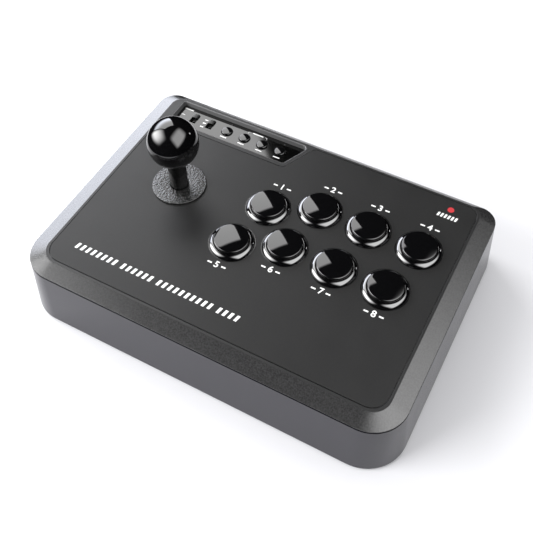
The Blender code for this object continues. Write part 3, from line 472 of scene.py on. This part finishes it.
def top_shell():
    """Sloping bezel, panel pocket and control recess, with every visible edge eased."""
    under_rim = SEAM_HEIGHT + GAP / 2
    lip_outer, lip_inner = WALL + GAP, WALL + GAP + 1.5 * MM
    lip_bottom = DECK_BOTTOM - 4.0 * MM
    centre = 60.0 * MM
    profile = [(lip_inner, lip_inner, DECK_BOTTOM), (lip_inner, lip_inner, lip_bottom),
               (lip_outer, lip_outer, lip_bottom), (lip_outer, lip_outer, under_rim),
               (0.0, 0.0, under_rim), (0.0, 0.0, under_rim + BEZEL_EDGE),
               (BEZEL_WIDTH, BEZEL_BACK, PANEL_TOP), (centre, centre, PANEL_TOP)]
    radii = [0.0, 0.0, 0.3 * MM, 0.0, 0.12 * MM, 0.2 * MM, 1.4 * MM, 0.0]
    points = fillet(profile, radii, 6)[:-1]
    shell = loft("top_shell", [housing_ring(*point) for point in points], BEZEL)
    under = prism("recess_underside", recess_corners,
                  [(1.6 * MM, RECESS_UNDERSIDE), (1.6 * MM, DECK_BOTTOM + 0.4 * MM)], None)
    fuse(shell, under)

    above = PANEL_TOP + 4 * MM
    pocket = prism("pocket", panel_corners,
                   eased_cut(GAP + 0.08 * MM, PANEL_TOP - PANEL_THICKNESS - GAP, 0.06 * MM,
                             above, steps=3), None, steps=16)
    recess = prism("recess", recess_corners, eased_cut(0.0, RECESS_FLOOR, 0.55 * MM, above),
                   None, steps=14)
    for cutter in (pocket, recess, control_holes(), play_holes("shell_holes", DECK_STICK_BORE)):
        carve(shell, cutter)
    # Lighter recess walls are painted light and the darker level rim is painted shade.
    finishes_and_painted_light = [BEZEL, INLAY, RECESS_WALL_PAINTED_LIGHT, LIP_PAINTED_SHADE]
    shell.data.materials.clear()
    for finish in finishes_and_painted_light:
        shell.data.materials.append(finish)
    for face in shell.data.polygons:
        face.material_index = finishes_and_painted_light.index(shell_finish(face))
    place(even_shading(shell), "housing", "bezel", "top_cover")


def shell_finish(face):
    """Recess floor differs from the bezel; the recess walls get painted light, a lighter grey,
    and the level rim round the panel gets painted shade, a darker colour.
    """
    x, y, z = face.center
    near = 0.01 * MM
    level = face.normal.z > 0.99
    if level and abs(z - RECESS_FLOOR) < near:
        return INLAY
    in_recess = (RECESS_LEFT - 2 * MM < x < RECESS_HIGH_X + 3 * MM
                 and RECESS_FRONT - MM < y < RECESS_BACK + 3 * MM
                 and RECESS_FLOOR - 0.1 * MM < z < PANEL_TOP - near)
    # Recess walls: lighter grey as painted light.
    if in_recess and not level:
        return RECESS_WALL_PAINTED_LIGHT
    # Level rim round the panel: darker colour as painted shade.
    return LIP_PAINTED_SHADE if level and z > PANEL_TOP - near else BEZEL


def eased_cut(grow, floor, radius, above, steps=5):
    """Profile of a cutter that leaves a rounded rim where it breaks the top surface."""
    profile = [(grow, floor)]
    for step in range(steps + 1):
        angle = radians(84.0) * step / steps
        profile.append((grow + radius * (1 - cos(angle)), PANEL_TOP - radius * (1 - sin(angle))))
    profile.append((profile[-1][0] + 0.02 * MM, PANEL_TOP + 0.02 * MM))
    profile.append((profile[-1][0], above))
    return profile


def control_holes():
    """Cutter for the holes in the recess floor."""
    below, above = RECESS_UNDERSIDE - 2 * MM, RECESS_FLOOR + 2 * MM
    button_hole = SMALL_BUTTON_RADIUS + GAP + 0.2 * MM
    parts = [rod("hole", (x, SMALL_BUTTON_Y), button_hole, below, above, 48)
             for x in SMALL_BUTTON_X]
    parts += [rounded_box("slot", (x - SLOT_WIDTH / 2, SWITCH_Y - SLOT_LENGTH / 2, below),
                          (x + SLOT_WIDTH / 2, SWITCH_Y + SLOT_LENGTH / 2, above), 0.0)
              for x in SWITCH_X]
    parts += [rod("lamp_hole", (x, LED_Y), LED_RADIUS + GAP, below, above, 24) for x in LED_X]
    return merge("control_holes", *parts)


def play_holes(name, stick_bore):
    """Cutter for the play buttons' holes and the lever's."""
    below, above = DECK_BOTTOM - 2 * MM, PANEL_TOP + 2 * MM
    holes = [(x * MM, y * MM, PLAY_HOLE_RADIUS) for x, y in BUTTONS]
    holes.append((STICK_X, STICK_Y, stick_bore))
    return merge(name, *(rod("hole", (x, y), radius, below, above, 64)
                         for x, y, radius in holes))


def panel_sheet():
    """Thin sheet with an eased top edge."""
    low, high, ease = PANEL_TOP - PANEL_THICKNESS, PANEL_TOP, 0.06 * MM
    edge = -0.08 * MM
    profile = [(edge - 0.55 * MM, low), (edge, high - 0.25 * MM), (edge, high - ease)]
    for angle in (30.0, 60.0, 90.0):
        turn = radians(angle)
        profile.append((edge - ease * (1 - cos(turn)), high - ease * (1 - sin(turn))))
    sheet = prism("panel_sheet", panel_corners, profile, PANEL, steps=16)
    carve(sheet, play_holes("panel_holes", PANEL_STICK_BORE))
    place(even_shading(sheet), "housing", "panel", "panel_plate")


# ---------------------------------------------------------------- stick

def stick():
    """Ball with its bore, and the tube that covers the shaft."""
    centre = (STICK_X, STICK_Y)
    flat = 6.0 * MM
    start = -pi / 2 + flat / BALL_RADIUS
    angles = [start + (pi / 2 - start) * step / BALL_STEPS for step in range(BALL_STEPS)]
    arc = [(BALL_RADIUS * cos(angle), BALL_Z + BALL_RADIUS * sin(angle)) for angle in angles]
    bore, bore_top = 3.3 * MM, 92.3 * MM
    profile = [(0.0, bore_top), (bore, bore_top), (bore, arc[0][1])] + arc
    profile.append((0.0, BALL_Z + BALL_RADIUS))
    ball = turned("ball_knob", profile, GLOSS, centre, steps=128)
    place(ball, "stick", "gloss_black", "ball_top")

    low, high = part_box("shaft_cover")
    outer, inner = 6.4 * MM, 3.3 * MM
    profile = [(inner, low.z), (outer, low.z), (outer, high.z), (inner, high.z)]
    cover = turned("lever_cover", profile, COVER, centre, steps=96,
                   radii=[0.0, 0.3 * MM, 0.5 * MM, 0.2 * MM])
    place(cover, "stick", "grained_black", "shaft_cover")


def dust_disc():
    """Grained washer that covers the lever's hole."""
    low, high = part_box("dust_washer")
    bore, outer = 6.75 * MM, 19.2 * MM
    profile = [(bore, low.z), (outer, low.z), (outer, high.z), (bore, high.z)]
    disc = turned("dust_disc", profile, GRAINED, (STICK_X, STICK_Y), steps=128,
                  radii=[0.1 * MM, 0.2 * MM, 0.45 * MM, 0.2 * MM])
    place(disc, "upper_washer", "grained_black", "dust_washer")


# ---------------------------------------------------------------- buttons

def play_buttons():
    for number, (x, y) in enumerate(BUTTONS, start=1):
        centre = (x * MM, y * MM)
        play_button_rim(number, centre)
        play_button_cap(number, centre)


def play_button_rim(number, centre):
    """Barrel and rounded rim in one piece."""
    low, bottom = PANEL_TOP + GAP, 30.0 * MM
    bore, barrel, outer = 12.4 * MM, 13.8 * MM, 15.9 * MM
    top = PANEL_TOP + 2.8 * MM
    low_tilt, high_tilt, curve = radians(15.0), radians(68.0), 4.55 * MM
    lip = bore + 0.35 * MM
    profile = [(bore, bottom + 1.5 * MM), (3.2 * MM, bottom + 1.5 * MM), (3.2 * MM, bottom),
               (barrel, bottom), (barrel, low), (outer, low), (outer, low + 0.18 * MM)]
    for step in range(RIM_STEPS, -1, -1):
        tilt = low_tilt + (high_tilt - low_tilt) * step / RIM_STEPS
        profile.append((min(lip + curve * (sin(tilt) - sin(low_tilt)), outer - 0.06 * MM),
                        top - curve * (cos(low_tilt) - cos(tilt))))
    profile += [(lip - 0.2 * MM, top - 0.05 * MM), (bore, top - 0.3 * MM)]
    rim = turned(f"button_rim_{number}", profile, RIM_GLOSS, centre, steps=96)
    place(rim, "housing", "gloss_black", f"button_housing_{number}")


def play_button_cap(number, centre):
    """Slightly domed cap on its skirt and stem."""
    crown, dome = PANEL_TOP + 5.9 * MM, 94.0 * MM
    outer, skirt, stem = 12.1 * MM, 10.8 * MM, 2.0 * MM
    ceiling, skirt_end, stem_end = PANEL_TOP + 3.3 * MM, 42.0 * MM, 33.0 * MM
    edge = 11.3 * MM
    arc = [(edge * share, crown - dome + sqrt(dome ** 2 - (edge * share) ** 2))
           for share in (step / RIM_STEPS for step in range(RIM_STEPS, -1, -1))]
    shoulder = crown - dome + sqrt(dome ** 2 - outer ** 2)
    side = fillet([(outer, skirt_end), (outer, shoulder), arc[1]], [0.0, 0.9 * MM, 0.0], 8)
    profile = [(0.0, stem_end), (stem, stem_end), (stem, ceiling), (skirt, ceiling),
               (skirt, skirt_end)] + side[:-1] + arc[1:]
    profile[-1] = (0.0, crown)
    cap = turned(f"button_cap_{number}", profile, GLOSS, centre, steps=96)
    place(cap, f"button_{number}", "gloss_black", f"button_plunger_{number}")


def small_buttons():
    """Round caps of the four small buttons, each on a flange under the recess floor."""
    low, flange_top = RECESS_UNDERSIDE - GAP - 1.0 * MM, RECESS_UNDERSIDE - GAP
    top = RECESS_FLOOR + SMALL_BUTTON_RISE
    radius = SMALL_BUTTON_RADIUS
    profile = [(0.0, low), (radius + 1.0 * MM, low), (radius + 1.0 * MM, flange_top),
               (radius, flange_top), (radius, top - 0.15 * MM), (0.0, top + 0.2 * MM)]
    for name, x in zip(("menu", "left", "right", "home"), SMALL_BUTTON_X):
        key = turned(f"{name}_key_cap", profile, GLOSS, (x, SMALL_BUTTON_Y), steps=64,
                     radii=[0.0, 0.0, 0.0, 0.0, 0.75 * MM, 0.0], round_steps=8)
        place(key, f"{name}_key", "gloss_black", f"{name}_button")


def status_lenses():
    """Small dark domes of the two indicator lamps."""
    low, high = RECESS_UNDERSIDE + 0.3 * MM, RECESS_FLOOR
    lenses = [turned("lens", [(0.0, low), (LED_RADIUS, low), (LED_RADIUS, high - 0.1 * MM),
                              (0.0, high + 0.25 * MM)], GLOSS, (x, LED_Y), steps=24,
                     radii=[0.0, 0.0, 0.2 * MM, 0.0])
              for x in LED_X]
    place(merge("status_lenses", *lenses), "housing", "gloss_black")


def slide_knobs():
    """Grip of each slide switch, with rounded ridges across it."""
    for number in (1, 2):
        low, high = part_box(f"slide_knob_{number}")
        flange_top = RECESS_UNDERSIDE - GAP
        x, y = (low.x + high.x) / 2, (low.y + high.y) / 2
        half_width, half_length, half_ridge = 2.3 * MM, 2.1 * MM, 0.42 * MM
        knob = rounded_box("flange", low, (high.x, high.y, flange_top), 0.2 * MM, GRIP)
        stem = rounded_box("stem", (x - half_width, y - half_length, flange_top - 0.1 * MM),
                           (x + half_width, y + half_length, high.z - 0.45 * MM), 0.25 * MM)
        ridges = [rounded_box("ridge", (x - half_width, ridge - half_ridge, high.z - 1.2 * MM),
                              (x + half_width, ridge + half_ridge, high.z), 0.22 * MM)
                  for ridge in (y - 1.6 * MM, y - 0.53 * MM, y + 0.53 * MM, y + 1.6 * MM)]
        fuse(knob, stem, *ridges)
        knob.name = f"slide_grip_{number}"
        place(knob, f"switch_{number}", "gloss_black", f"slide_knob_{number}")


# ---------------------------------------------------------------- underside

def underside():
    """Bottom plate with an eased edge, its feet and its screws."""
    edge = WALL - flare_at(WALL_BOTTOM) + GAP
    profile = fillet([(80.0 * MM, PLATE_BOTTOM), (edge, PLATE_BOTTOM), (edge, PLATE_TOP)],
                     [0.0, 0.35 * MM, 0.0], 4)[1:]
    rings = [housing_ring(inset, inset, height) for inset, height in profile]
    plate = loft("base_plate", rings, SHELL)
    cutters = []
    radius = 7.2 * MM
    for index in range(1, 5):
        low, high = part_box(f"rubber_foot_{index}")
        centre = ((low.x + high.x) / 2, (low.y + high.y) / 2)
        cutters.append(rod("pocket", centre, radius + GAP, 0.0, high.z + GAP, 64))
        foot = [(0.0, 0.0), (radius, 0.0), (radius, high.z), (0.0, high.z)]
        made = turned(f"foot_{index}", foot, RUBBER, centre, steps=64,
                      radii=[0.0, 0.8 * MM, 0.1 * MM, 0.0])
        place(made, "housing", "rubber", f"rubber_foot_{index}")
        low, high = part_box(f"housing_screw_{index}")
        centre = ((low.x + high.x) / 2, (low.y + high.y) / 2)
        cutters.append(turned("screw_pocket",
                              [(0.0, 0.0), (3.3 * MM, 0.0), (3.3 * MM, 2.6 * MM),
                               (1.7 * MM, 2.6 * MM), (1.7 * MM, 6.0 * MM), (0.0, 6.0 * MM)],
                              None, centre, steps=48))
        screw(index, centre)
    carve(plate, merge("base_holes", *cutters))
    place(even_shading(plate), "housing", "shell", "bottom_plate")


def screw(index, centre):
    """Pan-head screw with a cross recess and a rolled thread."""
    head = [(0.0, 0.8 * MM), (2.0 * MM, 0.8 * MM), (3.0 * MM, 1.5 * MM), (3.0 * MM, 2.3 * MM),
            (1.4 * MM, 2.3 * MM)]
    thread = []
    height = 3.2 * MM
    while height < 12.2 * MM:
        thread += [(1.4 * MM, height), (1.05 * MM, height + 0.35 * MM)]
        height += 0.7 * MM
    profile = head + thread + [(1.2 * MM, 12.5 * MM), (0.0, 14.0 * MM)]
    radii = [0.0, 0.5 * MM, 0.5 * MM, 0.0, 0.0] + [0.0] * (len(profile) - 5)
    made = turned(f"screw_{index}", profile, ZINC, centre, steps=48, radii=radii)
    x, y = centre
    long, short, deep = 1.7 * MM, 0.32 * MM, 1.7 * MM
    carve(made,
          rounded_box("cross_a", (x - long, y - short, 0.0), (x + long, y + short, deep), 0.0),
          rounded_box("cross_b", (x - short, y - long, 0.0), (x + short, y + long, deep), 0.0))
    place(made, "housing", "zinc_steel", f"housing_screw_{index}")


# ---------------------------------------------------------------- printed marks

def ink_bar(x, y, width, height, surface, lean=0.0):
    """Thin printed bar centred on a point; lean slants its ends."""
    shape = bmesh.new()
    low, high = surface + INK_LIFT, surface + INK_LIFT + INK
    outline = [(-width / 2 - lean, -height / 2), (width / 2 - lean, -height / 2),
               (width / 2 + lean, height / 2), (-width / 2 + lean, height / 2)]
    rings = [[shape.verts.new((x + dx, y + dy, z)) for dx, dy in outline] for z in (low, high)]
    shape.faces.new(rings[0])
    shape.faces.new(rings[1])
    for index in range(4):
        after = (index + 1) % 4
        shape.faces.new((rings[0][index], rings[0][after], rings[1][after], rings[1][index]))
    return finish_mesh("bar", shape, WHITE_INK)


def ink_digit(text, x, y):
    """Printed numeral centred on a point of the panel."""
    curve = bpy.data.curves.new("digit", "FONT")
    curve.body = text
    curve.size = DIGIT_SIZE
    curve.align_x, curve.align_y = "CENTER", "CENTER"
    curve.extrude = INK / 2
    curve.offset = DIGIT_WEIGHT
    holder = bpy.data.objects.new("digit", curve)
    bpy.context.scene.collection.objects.link(holder)
    graph = bpy.context.evaluated_depsgraph_get()
    mesh = bpy.data.meshes.new_from_object(holder.evaluated_get(graph))
    mesh.transform(Matrix.Translation((x, y, PANEL_TOP + INK_LIFT + INK / 2)))
    bpy.data.objects.remove(holder)
    shape = bmesh.new()
    shape.from_mesh(mesh)
    bmesh.ops.remove_doubles(shape, verts=shape.verts, dist=1e-7)
    return finish_mesh("digit", shape, WHITE_INK)


def printed_marks():
    """Generic prints: a number by each play button, bars elsewhere."""
    parts = []
    for number, (x, y) in enumerate(DIGITS, start=1):
        x, y = x * MM, y * MM
        parts.append(ink_digit(str(number), x, y))
        for side in (-1, 1):
            parts.append(ink_bar(x + side * 5.2 * MM, y, 3.2 * MM, 1.1 * MM, PANEL_TOP))
    place(merge("button_numbers", *parts), "housing", "panel")

    bars = []
    x, pitch, group_gap = -105.0 * MM, 4.25 * MM, 2.4 * MM
    for count in (8, 6, 10, 4):
        for _ in range(count):
            bars.append(ink_bar(x, -64.5 * MM, 2.0 * MM, 4.6 * MM, PANEL_TOP, lean=0.5 * MM))
            x += pitch
        x += group_gap
    place(merge("front_stripe", *bars), "housing", "panel")

    bars = [ink_bar((97.4 + 2.5 * step) * MM, 73.2 * MM, 1.4 * MM, 3.4 * MM, PANEL_TOP,
                    lean=0.3 * MM) for step in range(6)]
    place(merge("rear_mark_bars", *bars), "housing", "panel")
    low = PANEL_TOP + INK_LIFT
    disc = rod("rear_mark_disc", (103.8 * MM, 80.0 * MM), 2.3 * MM, low, low + INK, 48, RED_INK)
    place(disc, "housing", "panel")
    recess_marks()


def recess_marks():
    """Bars that stand in for the captions of the small controls."""
    bars = [ink_bar(x, 71.4 * MM, 5.2 * MM, 0.9 * MM, RECESS_FLOOR) for x in SMALL_BUTTON_X]
    left, right, line = SMALL_BUTTON_X[1], SMALL_BUTTON_X[2], 85.2 * MM
    bars.append(ink_bar((left + right) / 2, line, 9.0 * MM, 1.0 * MM, RECESS_FLOOR))
    for side in (-1, 1):
        x = (left + right) / 2 + side * 6.6 * MM
        bars.append(ink_bar(x, line, 2.2 * MM, 0.25 * MM, RECESS_FLOOR))
        bars.append(ink_bar(x + side * 1.1 * MM, line - 0.9 * MM, 0.25 * MM, 1.6 * MM,
                            RECESS_FLOOR))
    for x, y, width in ((-110.4, 85.1, 7.2), (-112.1, 78.4, 3.2),
                        (-92.6, 81.0, 2.6), (-92.6, 77.4, 2.6), (-92.6, 73.4, 2.6)):
        bars.append(ink_bar(x * MM, y * MM, width * MM, 0.9 * MM, RECESS_FLOOR))
    place(merge("recess_labels", *bars), "housing", "panel")


# ---------------------------------------------------------------- carried-over parts

def dress_frame():
    """Give every CAD part that stays its own finish."""
    by_slot = {"shell": SHELL, "bezel": BEZEL, "panel": PANEL, "gloss_black": GLOSS,
               "grained_black": GRAINED, "inner_black": INNER_BLACK, "inner_white": INNER_WHITE,
               "rubber": RUBBER, "steel": STEEL, "zinc_steel": ZINC, "circuit_board": BOARD}
    for subpart in frame["record"]["subparts"]:
        node = frame["nodes"][subpart["node"]]
        node.data.materials.clear()
        node.data.materials.append(by_slot[subpart["material_slot"]])


# ---------------------------------------------------------------- studio

def softbox(name, corner, along, across, strength, fades, ramp=None):
    """Glowing panel with soft edges, seen in reflections only.

    fades gives the soft share of the width at each edge: along start, along end, across start,
    across end. ramp brightens the far end along: (start, end, times).
    """
    mesh = bpy.data.meshes.new(name)
    corner, along, across = (Vector(part) * MM for part in (corner, along, across))
    mesh.from_pydata([corner, corner + along, corner + along + across, corner + across], [],
                     [(0, 1, 2, 3)])
    layer = mesh.uv_layers.new(name="UVMap")
    for loop, spot in zip(layer.data, ((0, 0), (1, 0), (1, 1), (0, 1))):
        loop.uv = spot
    made = bpy.data.objects.new(name, mesh)
    bpy.context.scene.collection.objects.link(made)
    glow = bpy.data.materials.new(name)
    glow.use_nodes = True
    tree = glow.node_tree
    tree.nodes.clear()
    output = tree.nodes.new("ShaderNodeOutputMaterial")
    emission = tree.nodes.new("ShaderNodeEmission")
    emission.inputs["Color"].default_value = WHITE
    tree.links.new(emission.outputs["Emission"], output.inputs["Surface"])
    split = tree.nodes.new("ShaderNodeSeparateXYZ")
    tree.links.new(tree.nodes.new("ShaderNodeTexCoord").outputs["UV"], split.inputs["Vector"])
    steps = [("X", 0.0, fades[0], 0.0, strength), ("X", 1.0, 1.0 - fades[1], 0.0, 1.0),
             ("Y", 0.0, fades[2], 0.0, 1.0), ("Y", 1.0, 1.0 - fades[3], 0.0, 1.0)]
    if ramp:
        steps.append(("X", ramp[0], ramp[1], 1.0, ramp[2]))
        cool = add_node(tree, "ShaderNodeMapRange", From_Min=ramp[0], From_Max=ramp[1])
        tree.links.new(split.outputs["X"], cool.inputs["Value"])
        blend = tree.nodes.new("ShaderNodeMixRGB")
        blend.inputs["Color1"].default_value = WHITE
        blend.inputs["Color2"].default_value = COOL_WHITE
        tree.links.new(cool.outputs["Result"], blend.inputs["Fac"])
        tree.links.new(blend.outputs["Color"], emission.inputs["Color"])
    value = None
    for axis, start, end, low, high in steps:
        part = add_node(tree, "ShaderNodeMapRange", From_Min=start, From_Max=end, To_Min=low,
                        To_Max=high)
        part.interpolation_type = "SMOOTHSTEP"
        tree.links.new(split.outputs[axis], part.inputs["Value"])
        if value is None:
            value = part.outputs["Result"]
            continue
        both = tree.nodes.new("ShaderNodeMath")
        both.operation = "MULTIPLY"
        tree.links.new(value, both.inputs[0])
        tree.links.new(part.outputs["Result"], both.inputs[1])
        value = both.outputs["Value"]
    tree.links.new(value, emission.inputs["Strength"])
    mesh.materials.append(glow)
    made.visible_camera = made.visible_diffuse = made.visible_shadow = False


def studio():
    """Glowing panels for the reflections, and two lights that only light matt surfaces."""
    softbox("rear_left_box", (-573.4, 1427.1, 2322.8), (-676.8, -41.3, -2295.9),
            (-977.9, -1203.8, 309.9), 5.9, (0.08, 0.20, 0.008, 0.008), ramp=(0.48, 0.76, 1.75))
    softbox("front_left_box", (-1775.0, 359.0, 2677.0), (-1205.0, -145.0, -2781.0),
            (1771.0, -2737.0, 685.0), 18.5, (0.66, 0.30, 0.22, 0.66))
    softbox("right_box", (190.0, 2950.0, 3480.0), (1980.0, -428.0, -1692.0),
            (-170.0, -4208.0, -1213.0), 6.6, (0.38, 0.24, 0.50, 0.18))
    softbox("rear_right_spark", (985.0, 1650.0, 460.0), (130.0, -93.0, 0.0),
            (0.0, 0.0, 160.0), 14.0, (0.1, 0.1, 0.1, 0.1))
    for name, spot, power in (("key_rear", (-1.85, 0.75, 0.95), 38.0),
                              ("key_front", (-1.40, -1.30, 1.05), 54.0)):
        key = bpy.data.lights.new(name, "AREA")
        key.shape, key.size, key.size_y = "RECTANGLE", 1.3, 1.3
        key.energy = power
        lamp = bpy.data.objects.new(name, key)
        bpy.context.scene.collection.objects.link(lamp)
        lamp.location = spot
        lamp.rotation_euler = Vector(spot).to_track_quat("Z", "Y").to_euler()
        lamp.visible_glossy = lamp.visible_camera = False
    floor_and_background()


def floor_and_background():
    """Plain pale floor and a white surround that reflections don't see."""
    material = bpy.data.materials.new("studio_floor")
    material.use_nodes = True
    shader = material.node_tree.nodes["Principled BSDF"]
    shader.inputs["Base Color"].default_value = FLOOR_COLOUR
    shader.inputs["Roughness"].default_value = 1.0
    shader.inputs["Specular IOR Level"].default_value = 0.0
    angles = [2 * pi * step / FLOOR_STEPS for step in range(FLOOR_STEPS)]
    for name, radii in (("near_floor", (NEAR_FLOOR,)), ("far_floor", (NEAR_FLOOR, FAR_FLOOR))):
        shape = bmesh.new()
        rings = [[shape.verts.new((radius * cos(angle), radius * sin(angle), 0.0))
                  for angle in angles] for radius in radii]
        if len(rings) == 1:
            shape.faces.new(rings[0])
        else:
            for step in range(FLOOR_STEPS):
                after = (step + 1) % FLOOR_STEPS
                shape.faces.new((rings[0][step], rings[0][after], rings[1][after],
                                 rings[1][step]))
        floor = finish_mesh(name, shape, material)
        floor.visible_glossy = name == "near_floor"
    world = bpy.data.worlds.new("studio")
    world.use_nodes = True
    background = world.node_tree.nodes["Background"]
    background.inputs["Color"].default_value = WHITE
    background.inputs["Strength"].default_value = 1.0
    world.cycles_visibility.glossy = False
    bpy.context.scene.world = world


def camera():
    """View from the front right and above."""
    data = bpy.data.cameras.new("camera")
    data.sensor_width = 36.0
    data.lens = 50.48
    data.clip_start, data.clip_end = 0.05, 60.0
    made = bpy.data.objects.new("camera", data)
    bpy.context.scene.collection.objects.link(made)
    right, up, back = (Vector((0.88007, 0.47468, -0.01208)), Vector((-0.38107, 0.72124, 0.57844)),
                       Vector((0.28329, -0.50447, 0.81563)))
    spot = Vector((152.47, -266.82, 447.68)) * MM
    made.matrix_world = Matrix((
        (right.x, up.x, back.x, spot.x), (right.y, up.y, back.y, spot.y),
        (right.z, up.z, back.z, spot.z), (0, 0, 0, 1)))
    bpy.context.scene.camera = made
    bpy.context.scene.view_settings.view_transform = "Standard"


def build():
    dress_frame()
    wall_frame()
    cable_gland()
    top_shell()
    panel_sheet()
    stick()
    dust_disc()
    play_buttons()
    small_buttons()
    status_lenses()
    slide_knobs()
    underside()
    printed_marks()
    studio()
    camera()


build()
bpy.context.view_layer.update()
